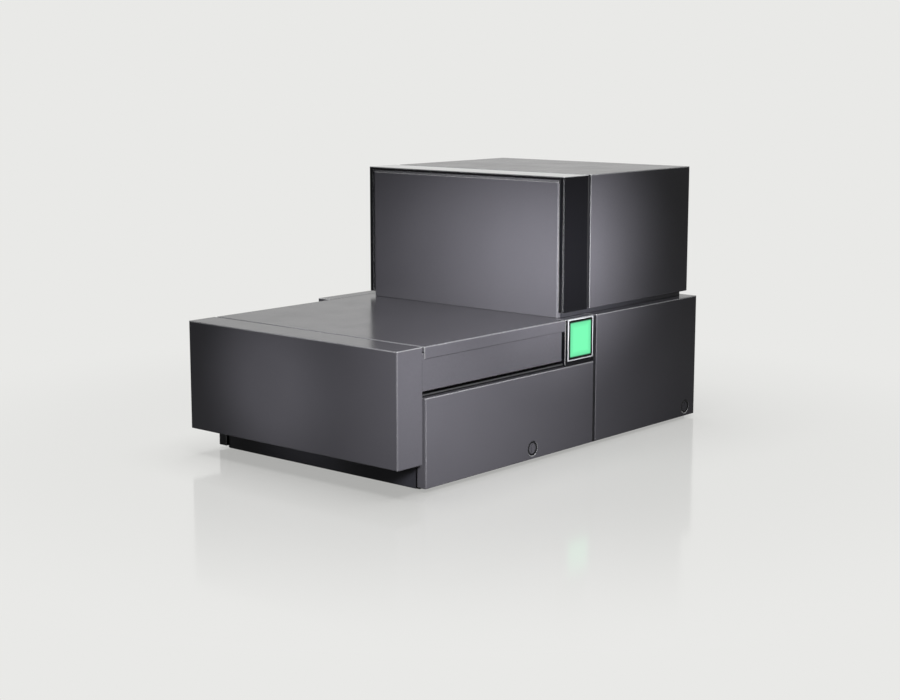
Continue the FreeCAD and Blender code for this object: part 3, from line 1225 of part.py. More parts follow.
REAR_SCREWS = [(f"{side} * ({PAN_HALF} - rear_screw_inset)", height) for side in (-1, 1)
               for height in ("pan_rim + rear_screw_rise", "deck_height / 2", "deck_height - screw_margin")]
TOWER_SCREWS = [(f"{side} * ({CASING_HALF} - tower_screw_inset)", height) for side in (-1, 1)
                for height in (f"{TOWER_LOW} + screw_margin", f"({TOWER_LOW} + total_height) / 2",
                               "total_height - screw_margin")]
PORTS_LOW = f"({PAN_FLOOR} + board_lift + frame_sheet)"
NETWORK_SPAN = (f"{PORTS_X} - network_width / 2", f"{PORTS_X} + network_width / 2")
DATA_SPAN = (f"{NETWORK_SPAN[1]} + port_spacing", f"{NETWORK_SPAN[1]} + port_spacing + data_width")


def entry_span(margin):
    """The width of the inlet and the switch together, with a margin at both ends."""
    return f"{INLET_X} - inlet_width / 2 - {margin}", f"{SWITCH_X} + switch_width / 2 + {margin}"


def ports_span(margin):
    """The width of both sockets together, with a margin at both ends."""
    return f"{NETWORK_SPAN[0]} - ({margin})", f"{DATA_SPAN[1]} + {margin}"


def make_rear_panel():
    """Flat panel with a folded top edge, a fan opening, vent slots and connector openings."""
    body = solid("rear_panel")
    lip = f"{HALF} - ledge_return - seat_gap"
    pad(body, "XZ", (FRAME_END, REAR_FACE),
        rectangle((f"-({PAN_HALF})", PAN_HALF), ("panel_floor_gap", DECK_UNDER)))
    pad(body, "XZ", (f"{BASE_BACK} + rear_lip_gap", REAR_FACE),
        rectangle((f"-({lip})", lip), (DECK_UNDER, "deck_height")))
    slots = [vent(f"(rear_vent_inset - {PAN_HALF} + {index} * vent_pitch)", "deck_height - rear_vent_drop")
             for index in range(12)]
    holes = [(x, z, "screw_radius") for x, z in REAR_SCREWS]
    pocket(body, "XZ", (f"{FRAME_END} - cutter", f"{REAR_FACE} + cutter"),
           (FAN_X, FAN_Z, "fan_size / 2 - fan_rim"), *slots, *holes,
           rectangle(entry_span("entry_opening"), about("inlet_z", "switch_height / 2 + entry_opening")),
           rectangle(ports_span("port_opening"),
                     ("panel_floor_gap - cutter", f"{PORTS_LOW} + port_height + port_opening")))
    sub_part(body, "rear_panel")


def make_cover_screws():
    """Pan-head screws of the rear panel and the tower's rear cover."""
    screws = []
    for places, face in ((REAR_SCREWS, REAR_FACE), (TOWER_SCREWS, f"({CASING_BACK} - cover_setback)")):
        for x, z in places:
            head = rod("screw_head", "Y", "screw_head_radius", (x, face, z), "screw_head_height")
            shank = rod("screw_shank", "Y", "screw_radius", (x, f"{face} - screw_length", z), "screw_length")
            screws.append(fuse("screw", head, shank))
    sub_part(compound("cover_screws", *screws), "cover_screws")


BLADES = 7
BLADE_SLANT = 35.0
GUARD_RINGS = 3


def make_fan():
    """Square fan frame with a round throat, a ring guard and a bladed rotor on four arms."""
    half, front = "fan_size / 2", FRAME_END
    back = f"({front} - fan_depth)"
    throat_radius = f"({half} - fan_rim)"
    block = box("fan_block", about(FAN_X, half), (back, front), about(FAN_Z, half))
    throat = rod("fan_throat", "Y", throat_radius, (FAN_X, f"{back} - cutter", FAN_Z),
                 "fan_depth + 2 * cutter")
    arm_back = (back, f"{back} + fan_arm_depth")
    guard_front = (f"{front} - guard_wire", front)
    inner = [rod("fan_seat", "Y", "fan_hub_radius", (FAN_X, back, FAN_Z), "fan_arm_depth")]
    inner += cross("fan_arm", "fan_arm_width / 2", half, arm_back)
    inner += cross("guard_bar", "guard_wire / 2", half, guard_front)
    for index in range(GUARD_RINGS):
        radius = f"guard_radius + {index} * guard_pitch"
        inner.append(ring("guard_ring", radius, "guard_wire / 2", guard_front))
    inside = doc.addObject("Part::Common", "fan_inside")
    inside.Base = fuse("fan_inner", *inner)
    inside.Tool = rod("bar_limit", "Y", f"{throat_radius} + seat_gap", (FAN_X, f"{back} - cutter", FAN_Z),
                      "fan_depth + 2 * cutter")
    sub_part(fuse("fan_body", cut("fan_open", block, throat), inside), "cooling_fan")
    hub_back = f"{back} + fan_arm_depth + play"
    hub = rod("rotor_hub", "Y", "fan_hub_radius", (FAN_X, hub_back, FAN_Z), "fan_hub_length")
    blades = [fan_blade(360 / BLADES * (index + 0.5), hub_back) for index in range(BLADES)]
    tips = doc.addObject("Part::Common", "rotor_tips")
    tips.Base = fuse("rotor_blades", *blades)
    tips.Tool = rod("tip_limit", "Y", f"{throat_radius} - blade_gap", (FAN_X, back, FAN_Z), "fan_depth")
    sub_part(fuse("rotor_body", hub, tips), "fan_rotor")


def cross(name, half_width, reach, depth):
    """Two bars that cross on the fan's axis."""
    return [box(name, about(FAN_X, reach), depth, about(FAN_Z, half_width)),
            box(name, about(FAN_X, half_width), depth, about(FAN_Z, reach))]


def ring(name, radius, half_width, depth):
    """A flat ring about the fan's axis."""
    length = f"({depth[1]}) - ({depth[0]})"
    return cut(name,
               rod(name + "_out", "Y", f"{radius} + {half_width}", (FAN_X, depth[0], FAN_Z), length),
               rod(name + "_in", "Y", f"{radius} - {half_width}", (FAN_X, f"{depth[0]} - cutter", FAN_Z),
                   f"{length} + 2 * cutter"))


def fan_blade(angle, low):
    """A flat blade set at a slant, from inside the hub to past its tip circle."""
    blade = doc.addObject("Part::Box", "fan_blade")
    bind(blade, Length="fan_size / 2", Width="blade_width", Height="blade_thickness")
    spin = FreeCAD.Rotation(FreeCAD.Vector(0, 1, 0), angle)
    slant = FreeCAD.Rotation(FreeCAD.Vector(1, 0, 0), BLADE_SLANT)
    blade.Placement = FreeCAD.Placement(FreeCAD.Vector(), spin * slant)
    root = "(fan_hub_radius / 2)"
    return put(blade, f"{FAN_X} + {root} * cos({angle} deg)", f"{low} + fan_hub_length / 8",
               f"{FAN_Z} - {root} * sin({angle} deg)")


def make_power_entry():
    """One moulded module: a three-pin inlet with a recess for the plug, and the switch's frame."""
    deep = f"{REAR_FACE} - entry_depth"
    out = f"{REAR_FACE} + entry_sheet + cutter"
    blank = fuse("entry_blank",
                 box("entry_flange", entry_span("entry_margin"), (REAR_FACE, f"{REAR_FACE} + entry_sheet"),
                     about("inlet_z", "switch_height / 2 + entry_margin")),
                 box("inlet_shell", about(INLET_X, "inlet_width / 2"), (deep, REAR_FACE),
                     about("inlet_z", "inlet_height / 2")),
                 box("switch_shell", about(SWITCH_X, "switch_width / 2"), (deep, REAR_FACE),
                     about("inlet_z", "switch_height / 2")))
    recess = box("inlet_recess", about(INLET_X, "inlet_width / 2 - inlet_wall"),
                 (f"{deep} + inlet_floor", out), about("inlet_z", "inlet_height / 2 - inlet_wall"))
    hollow = box("switch_hollow", about(SWITCH_X, "switch_width / 2 - switch_wall"),
                 (f"{deep} + switch_floor", out), about("inlet_z", "switch_height / 2 - switch_wall"))
    length = (f"{deep} + inlet_floor / 2", f"{REAR_FACE} - pin_setback")
    pins = [box("inlet_pin", about(x, "pin_width / 2"), length, about(z, "pin_height / 2"))
            for x, z in ((f"{INLET_X} - pin_pitch", "inlet_z - pin_drop"), (INLET_X, "inlet_z + pin_rise"),
                         (f"{INLET_X} + pin_pitch", "inlet_z - pin_drop"))]
    sub_part(fuse("entry_body", cut("entry_open", blank, recess, hollow), *pins), "power_entry")


# The rocker lies tipped to one side by this many degrees.
ROCKER_TILT = 11.0


def make_power_rocker():
    """Rocker that tips about a pin inside the module's frame, drawn about that pin."""
    rocker = solid("power_rocker")
    pad(rocker, "YZ", ("-rocker_width / 2", "rocker_width / 2"),
        [("-rocker_root", "-rocker_root_half"), ("rocker_tip", "-rocker_half"), ("rocker_crown", "0"),
         ("rocker_tip", "rocker_half"), ("-rocker_root", "rocker_root_half")])
    rocker.Placement = FreeCAD.Placement(
        FreeCAD.Vector(), FreeCAD.Rotation(FreeCAD.Vector(1, 0, 0), -ROCKER_TILT))
    put(rocker, SWITCH_X, f"{REAR_FACE} - rocker_depth", "inlet_z")
    sub_part(rocker, "power_rocker")


# Electronics

def make_power_supply():
    left = f"{WALL_IN} - supply_margin - supply_width"
    back = f"{FRAME_END} - supply_back"
    case = box("supply_case", (left, f"{left} + supply_width"), (f"{back} - supply_length", back),
               (PAN_FLOOR, f"{PAN_FLOOR} + supply_height"))
    terminals = box("supply_terminals",
                    (f"{left} + terminal_inset", f"{left} + terminal_inset + terminal_length"),
                    (back, f"{back} + terminal_depth"), (PAN_FLOOR, f"{PAN_FLOOR} + terminal_height"))
    sub_part(fuse("supply_body", case, terminals), "power_supply")


# Chips of the main board: share of its width, share of its length, half width, height.
CHIPS = ((0.2, 0.3, 14, 5), (0.5, 0.3, 20, 12), (0.8, 0.25, 10, 18), (0.25, 0.7, 18, 4))


def make_main_board():
    """Board on stand-offs, with chips, sockets at the rear edge and the plate round those sockets."""
    left = BOARD_LEFT
    back = f"{FRAME_END} - board_back_gap"
    front = f"{back} - board_length"
    top = PORTS_LOW
    pieces = [box("board_sheet", (left, f"{left} + board_width"), (front, back),
                  (f"{PAN_FLOOR} + board_lift", top))]
    for x in (f"{left} + stand_off_inset", f"{left} + board_width - stand_off_inset"):
        for y in (f"{front} + stand_off_inset", f"{back} - stand_off_inset"):
            pieces.append(rod("stand_off", "Z", "stand_off_radius", (x, y, PAN_FLOOR), "board_lift"))
    for across, along, half, height in CHIPS:
        pieces.append(box("chip", about(f"{left} + {across} * board_width", str(half)),
                          about(f"{front} + {along} * board_length", str(half)), (top, f"{top} + {height}")))
    for name, (low_x, high_x) in (("network", NETWORK_SPAN), ("data", DATA_SPAN)):
        socket = box(f"{name}_shell", (low_x, high_x), (f"{FRAME_END} - port_depth", REAR_FACE),
                     (top, f"{top} + port_height"))
        mouth = box(f"{name}_mouth", (f"{low_x} + port_wall", f"{high_x} - port_wall"),
                    (f"{FRAME_END} - port_depth + port_floor", f"{REAR_FACE} + cutter"),
                    (f"{top} + port_wall", f"{top} + port_height - port_wall"))
        pieces.append(cut(f"{name}_socket", socket, mouth))
    cover = solid("socket_cover")
    behind = (f"{FRAME_END} - panel_sheet", FRAME_END)
    pad(cover, "XZ", behind,
        rectangle(ports_span("port_opening + shield_lap"),
                  ("foot_height + pan_rim + seat_gap", f"{top} + port_height + port_opening + shield_lap")))
    holes = [rectangle((f"{low_x} - seat_gap", f"{high_x} + seat_gap"),
                       (f"{top} - seat_gap", f"{top} + port_height + seat_gap"))
             for low_x, high_x in (NETWORK_SPAN, DATA_SPAN)]
    pocket(cover, "XZ", (f"{behind[0]} - cutter", f"{FRAME_END} + cutter"), *holes)
    sub_part(compound("main_board", fuse("main_board_body", *pieces), cover), "main_board")


def make_high_voltage_supply():
    supply = box("high_voltage_case", about("0", "high_voltage_width / 2"),
                 about("lift_y", "high_voltage_length / 2"),
                 (SHIELD_TOP, f"{SHIELD_TOP} + high_voltage_height"))
    sub_part(supply, "high_voltage_supply")


make_base_pan()
make_base_feet()
make_front_plinth()
make_inner_walls()
make_bulkhead()
make_sides()
make_deck_cover()
make_drawer_front()
make_drawer_back_plate()
make_drawer_skirts()
make_skirt_rails()
make_drawer_pan()
make_slides()
make_tray_rails()
make_tray_carriage()
make_rack_tray()
make_vial_rack(0, "vial_rack_front")
make_vial_rack(1, "vial_rack_rear")
make_lift()
make_shutter()
make_shield()
make_detector()
make_tower_base()
make_tower_frame()
make_tower_front_panel()
make_tower_casing()
make_tower_gasket()
make_tower_rear_cover()
make_display()
make_side_duct()
make_rear_panel()
make_cover_screws()
make_fan()
make_power_entry()
make_power_rocker()
make_power_supply()
make_main_board()
make_high_voltage_supply()

doc.recompute()

failed = [item.Name for item in doc.Objects if {"Invalid", "Error"} & set(item.State)]
if failed:
    raise RuntimeError(f"these objects failed: {failed}")
for piece in sub_parts:
    if piece.Shape.isNull() or not piece.Shape.isValid() or not piece.Shape.Solids:
        raise RuntimeError(f"{piece.Label} has no valid solid")

os.makedirs("parts", exist_ok=True)
for piece in sub_parts:
    piece.Shape.exportStep(f"parts/{piece.Label}.step")
print(f"{len(sub_parts)} sub-parts written")
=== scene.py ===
"""Looks of a benchtop liquid scintillation counter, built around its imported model."""
import json
import logging
import math
from dataclasses import dataclass, field
from enum import Enum

import bmesh
import bpy
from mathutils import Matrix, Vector

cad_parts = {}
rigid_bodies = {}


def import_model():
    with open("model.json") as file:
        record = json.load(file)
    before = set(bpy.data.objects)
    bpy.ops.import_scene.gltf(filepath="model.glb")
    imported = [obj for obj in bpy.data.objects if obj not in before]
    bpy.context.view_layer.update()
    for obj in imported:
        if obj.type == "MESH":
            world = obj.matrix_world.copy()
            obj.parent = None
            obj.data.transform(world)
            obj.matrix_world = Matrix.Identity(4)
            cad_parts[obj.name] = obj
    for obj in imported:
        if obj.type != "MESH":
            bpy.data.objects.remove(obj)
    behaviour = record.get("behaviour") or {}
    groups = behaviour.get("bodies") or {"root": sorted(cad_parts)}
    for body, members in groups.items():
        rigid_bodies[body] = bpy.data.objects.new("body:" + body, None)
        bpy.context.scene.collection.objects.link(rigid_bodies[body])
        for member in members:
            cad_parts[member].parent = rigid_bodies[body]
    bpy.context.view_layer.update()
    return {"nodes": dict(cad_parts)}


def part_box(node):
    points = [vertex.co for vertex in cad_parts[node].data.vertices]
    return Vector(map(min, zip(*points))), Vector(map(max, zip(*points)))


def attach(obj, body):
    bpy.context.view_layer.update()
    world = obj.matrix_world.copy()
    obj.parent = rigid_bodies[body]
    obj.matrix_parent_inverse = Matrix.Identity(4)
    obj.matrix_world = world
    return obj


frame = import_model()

LOG = logging.getLogger("counter")
MM = 0.001
# Blender's noise stays mostly between these two values.
NOISE_LOW = 0.3
NOISE_HIGH = 0.7
# Samples with which a shader looks for nearby edges.
EDGE_SAMPLES = 6
# The horizontal way in which the front right corners look, whose rims get a painted highlight.
CORNER_WAY = (1.0, -1.0, 0.0)
# How far a rounded normal has turned where the painted rim highlight starts, and where it is full.
RIM_START = 0.12
RIM_FULL = 0.45

Colour = tuple[float, float, float, float]
Point = tuple[float, float, float]


class Axis(Enum):
    """The three directions of the object's own frame."""

    X = (1.0, 0.0, 0.0)
    Y = (0.0, 1.0, 0.0)
    Z = (0.0, 0.0, 1.0)


def linear(code: str) -> Colour:
    """Turn an sRGB hex colour into linear values.

    Args:
        code: Six hex digits after a hash sign.

    Returns:
        Red, green and blue as linear light, and an alpha of one.
    """
    parts = [int(code[start:start + 2], 16) / 255 for start in (1, 3, 5)]
    red, green, blue = [part / 12.92 if part <= 0.04045 else ((part + 0.055) / 1.055) ** 2.4 for part in parts]
    return red, green, blue, 1.0


def add_node(tree: bpy.types.NodeTree, kind: str, settings: dict[str | int, object] | None = None,
             links: dict[str | int, bpy.types.NodeSocket] | None = None) -> bpy.types.Node:
    """Add a shader node with its settings and its links.

    Args:
        tree: The material's or world's node tree.
        kind: Blender's name of the node type.
        settings: Values by input name or number, or by property name.
        links: Output sockets by the name or number of the input that they feed.

    Returns:
        The new node.
    """
    node = tree.nodes.new(kind)
    for name, value in (settings or {}).items():
        if isinstance(name, int) or name in node.inputs:
            node.inputs[name].default_value = value
        else:
            setattr(node, name, value)
    for name, socket in (links or {}).items():
        tree.links.new(socket, node.inputs[name])
    return node


def per_metre(size_mm: float) -> float:
    """The texture scale at which one cell of a pattern is that many millimetres wide."""
    return 1.0 / (size_mm * MM)


@dataclass(frozen=True)
class Finish:
    """What every finish has: a name and a way to make its material."""

    name: str

    def shader(self, tree: bpy.types.NodeTree, coords: bpy.types.NodeSocket) -> bpy.types.NodeSocket:
        """Build the surface. Each finish has its own."""
        raise NotImplementedError

    def make(self) -> bpy.types.Material:
        """Make the material.

        Returns:
            A node material with this finish's surface.
        """
        material = bpy.data.materials.new(self.name)
        material.use_nodes = True
        tree = material.node_tree
        tree.nodes.clear()
        coords = add_node(tree, "ShaderNodeTexCoord").outputs["Object"]
        surface = self.shader(tree, coords)
        add_node(tree, "ShaderNodeOutputMaterial", links={"Surface": surface})
        return material


def mottle(tree: bpy.types.NodeTree, coords: bpy.types.NodeSocket, cell_mm: float, detail: float,
           low: float, high: float) -> bpy.types.NodeSocket:
    """A noise of a real cell size, stretched between two values.

    Args:
        tree: The node tree.
        coords: Object coordinates in metres.
        cell_mm: Size of one blotch in millimetres.
        detail: How many finer layers lie on it.
        low: Value at the darkest place.
        high: Value at the brightest place.

    Returns:
        The value's socket.
    """
    noise = add_node(tree, "ShaderNodeTexNoise", {"Scale": per_metre(cell_mm), "Detail": detail},
                     {"Vector": coords})
    spread = add_node(tree, "ShaderNodeMapRange",
                      {"From Min": NOISE_LOW, "From Max": NOISE_HIGH, "To Min": low, "To Max": high},
                      {"Value": noise.outputs["Fac"]})
    return spread.outputs["Result"]


def painted_highlight_mask(tree: bpy.types.NodeTree, width_mm: float) -> bpy.types.NodeSocket:
    """How much of the painted highlight a point gets, on an upper rim or a front right corner, from zero to one.

    Both turn to the light. A rounded normal is compared with the flat one, and only a turn upwards or towards the
    front right counts.

    Args:
        tree: The node tree.
        width_mm: Reach of the rim in millimetres.

    Returns:
        The mask's socket.
    """
    bevel = add_node(tree, "ShaderNodeBevel", {"samples": EDGE_SAMPLES, "Radius": width_mm * MM})
    plain = add_node(tree, "ShaderNodeNewGeometry")
    turned = add_node(tree, "ShaderNodeVectorMath", {"operation": "SUBTRACT"},
                      {0: bevel.outputs["Normal"], 1: plain.outputs["Normal"]})
    upward = add_node(tree, "ShaderNodeVectorMath", {"operation": "DOT_PRODUCT", 1: Axis.Z.value},
                      {0: turned.outputs["Vector"]})
    sideways = add_node(tree, "ShaderNodeVectorMath", {"operation": "DOT_PRODUCT", 1: CORNER_WAY},
                        {0: turned.outputs["Vector"]})
    either = add_node(tree, "ShaderNodeMath", {"operation": "MAXIMUM"},
                      {0: upward.outputs["Value"], 1: sideways.outputs["Value"]})
    mask = add_node(tree, "ShaderNodeMapRange", {"From Min": RIM_START, "From Max": RIM_FULL},
                    {"Value": either.outputs["Value"]})
    return mask.outputs["Result"]


@dataclass(frozen=True)
class PowderCoat(Finish):
    """Powder-coated steel sheet: baked polyester with a fine even peel and a satin gloss.

    The eye gets a dark soft mirror with a faint grain, and a painted highlight: upper rims and front right corners
    drawn as near-white metal.
    """

    colour: str
    painted_highlight_colour: str
    # The peel of a fine satin coat is about 0.4 mm; it is drawn at 1.1 mm so that it shows.
    peel_mm: float = 1.1
    peel_height_mm: float = 0.006
    peel_strength: float = 0.3
    peel_contrast: float = 0.08
    cloud_mm: float = 180.0
    cloud_contrast: float = 0.04
    haze_mm: float = 60.0
    haze: float = 0.02
    roughness: float = 0.2
    # The painted highlight along upper rims and front right corners is drawn 2.4 mm wide, so that it shows.
    rim_mm: float = 2.4
    painted_rim_highlight: bool = True
    ior: float = 1.5

    def shader(self, tree: bpy.types.NodeTree, coords: bpy.types.NodeSocket) -> bpy.types.NodeSocket:
        """Build the coat.

        Args:
            tree: The material's node tree.
            coords: Object coordinates in metres.

        Returns:
            The surface socket.
        """
        tone = mottle(tree, coords, self.cloud_mm, 2.0, 1.0 - self.cloud_contrast, 1.0 + self.cloud_contrast)
        grain = mottle(tree, coords, self.peel_mm, 1.0, 1.0 - self.peel_contrast, 1.0 + self.peel_contrast)
        product = add_node(tree, "ShaderNodeMath", {"operation": "MULTIPLY"}, {0: tone, 1: grain})
        tinted = add_node(tree, "ShaderNodeVectorMath", {"operation": "SCALE", 0: linear(self.colour)[:3]},
                          {"Scale": product.outputs["Value"]})
        rough = mottle(tree, coords, self.haze_mm, 3.0, self.roughness - self.haze, self.roughness + self.haze)
        bevel = add_node(tree, "ShaderNodeBevel", {"samples": EDGE_SAMPLES, "Radius": self.rim_mm * MM})
        noise = add_node(tree, "ShaderNodeTexNoise", {"Scale": per_metre(self.peel_mm), "Detail": 2.0},
                         {"Vector": coords})
        bump = add_node(tree, "ShaderNodeBump",
                        {"Strength": self.peel_strength, "Distance": self.peel_height_mm * MM},
                        {"Height": noise.outputs["Fac"], "Normal": bevel.outputs["Normal"]})
        paint = add_node(tree, "ShaderNodeBsdfPrincipled", {"IOR": self.ior},
                         {"Base Color": tinted.outputs["Vector"], "Roughness": rough,
                          "Normal": bump.outputs["Normal"]})
        # Painted highlight: near-white metal mixed in along upper rims and front right corners.
        if self.painted_rim_highlight:
            rim = painted_highlight_mask(tree, self.rim_mm)
            colour = add_node(tree, "ShaderNodeMix", {"data_type": "RGBA", 7: linear(self.painted_highlight_colour)},
                              {0: rim, 6: tinted.outputs["Vector"]})
            tree.links.new(colour.outputs[2], paint.inputs["Base Color"])
            tree.links.new(rim, paint.inputs["Metallic"])
        return paint.outputs["BSDF"]


@dataclass(frozen=True)
class PolishedLacquer(Finish):
    """Black lacquer, sprayed and polished, with a painted highlight on its tops and rims.

    The eye gets a near-black deep mirror with a slow wave, and a painted highlight: upper rims, front right corners
    and top faces drawn as near-white metal.
    """

    colour: str
    painted_top_colour: str
    roughness: float = 0.06
    haze_mm: float = 35.0
    haze: float = 0.05
    dust_mm: float = 1.5
    darkest: float = 0.9
    brightest: float = 1.15
    # The slow wave that sprayed lacquer keeps after polishing.
    wave_mm: float = 22.0
    wave_height_mm: float = 0.05
    wave_strength: float = 0.12
    # How far a face has to look upwards to get the painted highlight of a top.
    top_limit: float = 0.8
    rim_mm: float = 2.4
    ior: float = 1.52

    def shader(self, tree: bpy.types.NodeTree, coords: bpy.types.NodeSocket) -> bpy.types.NodeSocket:
        """Build the lacquer.

        Args:
            tree: The material's node tree.
            coords: Object coordinates in metres.

        Returns:
            The surface socket.
        """
        haze = mottle(tree, coords, self.haze_mm, 4.0, self.roughness, self.roughness + self.haze)
        tone = mottle(tree, coords, self.dust_mm, 1.0, self.darkest, self.brightest)
        tinted = add_node(tree, "ShaderNodeVectorMath", {"operation": "SCALE", 0: linear(self.colour)[:3]},
                          {"Scale": tone})
        wave = add_node(tree, "ShaderNodeTexNoise", {"Scale": per_metre(self.wave_mm), "Detail": 0.0},
                        {"Vector": coords})
        bevel = add_node(tree, "ShaderNodeBevel", {"samples": EDGE_SAMPLES, "Radius": self.rim_mm * MM})
        bump = add_node(tree, "ShaderNodeBump",
                        {"Strength": self.wave_strength, "Distance": self.wave_height_mm * MM},
                        {"Height": wave.outputs["Fac"], "Normal": bevel.outputs["Normal"]})
        # Painted highlight: upward faces and rims are drawn as near-white metal.
        facing = add_node(tree, "ShaderNodeSeparateXYZ",
                          links={0: add_node(tree, "ShaderNodeNewGeometry").outputs["Normal"]})
        top = add_node(tree, "ShaderNodeMath", {"operation": "GREATER_THAN", 1: self.top_limit},
                       {0: facing.outputs["Z"]})
        bright = add_node(tree, "ShaderNodeMath", {"operation": "MAXIMUM"},
                          {0: painted_highlight_mask(tree, self.rim_mm), 1: top.outputs["Value"]})
        rim = bright.outputs["Value"]
        colour = add_node(tree, "ShaderNodeMix", {"data_type": "RGBA", 7: linear(self.painted_top_colour)},
                          {0: rim, 6: tinted.outputs["Vector"]})
        lacquer = add_node(tree, "ShaderNodeBsdfPrincipled", {"IOR": self.ior},
                           {"Base Color": colour.outputs[2], "Metallic": rim, "Roughness": haze,
                            "Normal": bump.outputs["Normal"]})
        return lacquer.outputs["BSDF"]


@dataclass(frozen=True)
class SheetZinc(Finish):
    """Zinc-plated steel sheet: the eye gets a pale, slightly blue metal with large crystals of unlike gloss."""

    colour: str
    crystal_mm: float = 9.0
    darkest: float = 0.86
    brightest: float = 1.05
    roughness: float = 0.38
    smoother: float = 0.06
    rougher: float = 0.08

    def shader(self, tree: bpy.types.NodeTree, coords: bpy.types.NodeSocket) -> bpy.types.NodeSocket:
        """Build the plating.

        Args:
            tree: The material's node tree.
            coords: Object coordinates in metres.

        Returns:
            The surface socket.
        """
        cells = add_node(tree, "ShaderNodeTexVoronoi", {"Scale": per_metre(self.crystal_mm)}, {"Vector": coords})
        shade = add_node(tree, "ShaderNodeMapRange", {"To Min": self.darkest, "To Max": self.brightest},
                         {"Value": cells.outputs["Color"]})
        tinted = add_node(tree, "ShaderNodeVectorMath", {"operation": "SCALE", 0: linear(self.colour)[:3]},
                          {"Scale": shade.outputs["Result"]})
        rough = add_node(tree, "ShaderNodeMapRange",
                         {"To Min": self.roughness - self.smoother, "To Max": self.roughness + self.rougher},
                         {"Value": cells.outputs["Color"]})
        zinc = add_node(tree, "ShaderNodeBsdfPrincipled", {"Metallic": 1.0},
                        {"Base Color": tinted.outputs["Vector"], "Roughness": rough.outputs["Result"]})
        return zinc.outputs["BSDF"]


@dataclass(frozen=True)
class GrainedMetal(Finish):
    """Bare metal with a fine grain along one axis, as left by rolling, grinding or brushing.

    The eye gets a soft reflection that is drawn out across the grain.
    """

    colour: str
    along: Axis
    # A ground grain is about 0.1 mm wide; it is drawn at 0.6 mm so that it shows.
    grain_mm: float = 0.6
    # Width of a grain line as a share of its length.
    slimness: float = 0.02
    darkest: float = 0.88
    brightest: float = 1.08
    roughness: float = 0.28
    smoother: float = 0.07
    rougher: float = 0.09

    def shader(self, tree: bpy.types.NodeTree, coords: bpy.types.NodeSocket) -> bpy.types.NodeSocket:
        """Build the metal.

        Args:
            tree: The material's node tree.
            coords: Object coordinates in metres.

        Returns:
            The surface socket.
        """
        stretch = [1.0 if part == 0.0 else self.slimness for part in self.along.value]
        drawn = add_node(tree, "ShaderNodeVectorMath", {"operation": "MULTIPLY", 1: stretch}, {0: coords})
        grain = mottle(tree, drawn.outputs["Vector"], self.grain_mm, 2.0, self.darkest, self.brightest)
        tinted = add_node(tree, "ShaderNodeVectorMath", {"operation": "SCALE", 0: linear(self.colour)[:3]},
                          {"Scale": grain})
        rough = mottle(tree, drawn.outputs["Vector"], self.grain_mm * 2.0, 2.0,
                       self.roughness - self.smoother, self.roughness + self.rougher)
        metal = add_node(tree, "ShaderNodeBsdfPrincipled", {"Metallic": 1.0},
                         {"Base Color": tinted.outputs["Vector"], "Roughness": rough})
        return metal.outputs["BSDF"]


@dataclass(frozen=True)
class MouldedPlastic(Finish):
    """Moulded plastic or rubber, and cast lead: the eye gets one colour, a fine grain and a soft gloss."""

    colour: str
    # A spark-eroded grain is about 0.2 mm wide; it is drawn at 0.8 mm so that it shows.
    grain_mm: float = 0.8
    grain_height_mm: float = 0.02
    grain_strength: float = 0.3
    cloud_mm: float = 25.0
    darkest: float = 0.93
    brightest: float = 1.06
    haze_mm: float = 12.0
    haze: float = 0.05
    roughness: float = 0.5
    ior: float = 1.49

    def shader(self, tree: bpy.types.NodeTree, coords: bpy.types.NodeSocket) -> bpy.types.NodeSocket:
        """Build the plastic.

        Args:
            tree: The material's node tree.
            coords: Object coordinates in metres.

        Returns:
            The surface socket.
        """
        tone = mottle(tree, coords, self.cloud_mm, 3.0, self.darkest, self.brightest)
        tinted = add_node(tree, "ShaderNodeVectorMath", {"operation": "SCALE", 0: linear(self.colour)[:3]},
                          {"Scale": tone})
        noise = add_node(tree, "ShaderNodeTexNoise", {"Scale": per_metre(self.grain_mm), "Detail": 2.0},
                         {"Vector": coords})
        bump = add_node(tree, "ShaderNodeBump",
                        {"Strength": self.grain_strength, "Distance": self.grain_height_mm * MM},
                        {"Height": noise.outputs["Fac"]})
        rough = mottle(tree, coords, self.haze_mm, 2.0, self.roughness - self.haze, self.roughness + self.haze)
        plastic = add_node(tree, "ShaderNodeBsdfPrincipled", {"IOR": self.ior},
                           {"Base Color": tinted.outputs["Vector"], "Roughness": rough,
                            "Normal": bump.outputs["Normal"]})
        return plastic.outputs["BSDF"]


@dataclass(frozen=True)
class TubeGlass(Finish):
    """Blown glass tube with a silvery coat inside: the eye gets a dark amber body under a clear gloss."""

    colour: str
    cloud_mm: float = 40.0
    darkest: float = 0.8
    brightest: float = 1.1
    roughness: float = 0.04
    silvering: float = 0.35
    ior: float = 1.5

    def shader(self, tree: bpy.types.NodeTree, coords: bpy.types.NodeSocket) -> bpy.types.NodeSocket:
        """Build the glass.

        Args:
            tree: The material's node tree.
            coords: Object coordinates in metres.

        Returns:
            The surface socket.
        """
        tone = mottle(tree, coords, self.cloud_mm, 1.0, self.darkest, self.brightest)
        tinted = add_node(tree, "ShaderNodeVectorMath", {"operation": "SCALE", 0: linear(self.colour)[:3]},
                          {"Scale": tone})
        glass = add_node(tree, "ShaderNodeBsdfPrincipled",
                         {"IOR": self.ior, "Roughness": self.roughness, "Metallic": self.silvering,
                          "Coat Weight": 1.0},
                         {"Base Color": tinted.outputs["Vector"]})
        return glass.outputs["BSDF"]


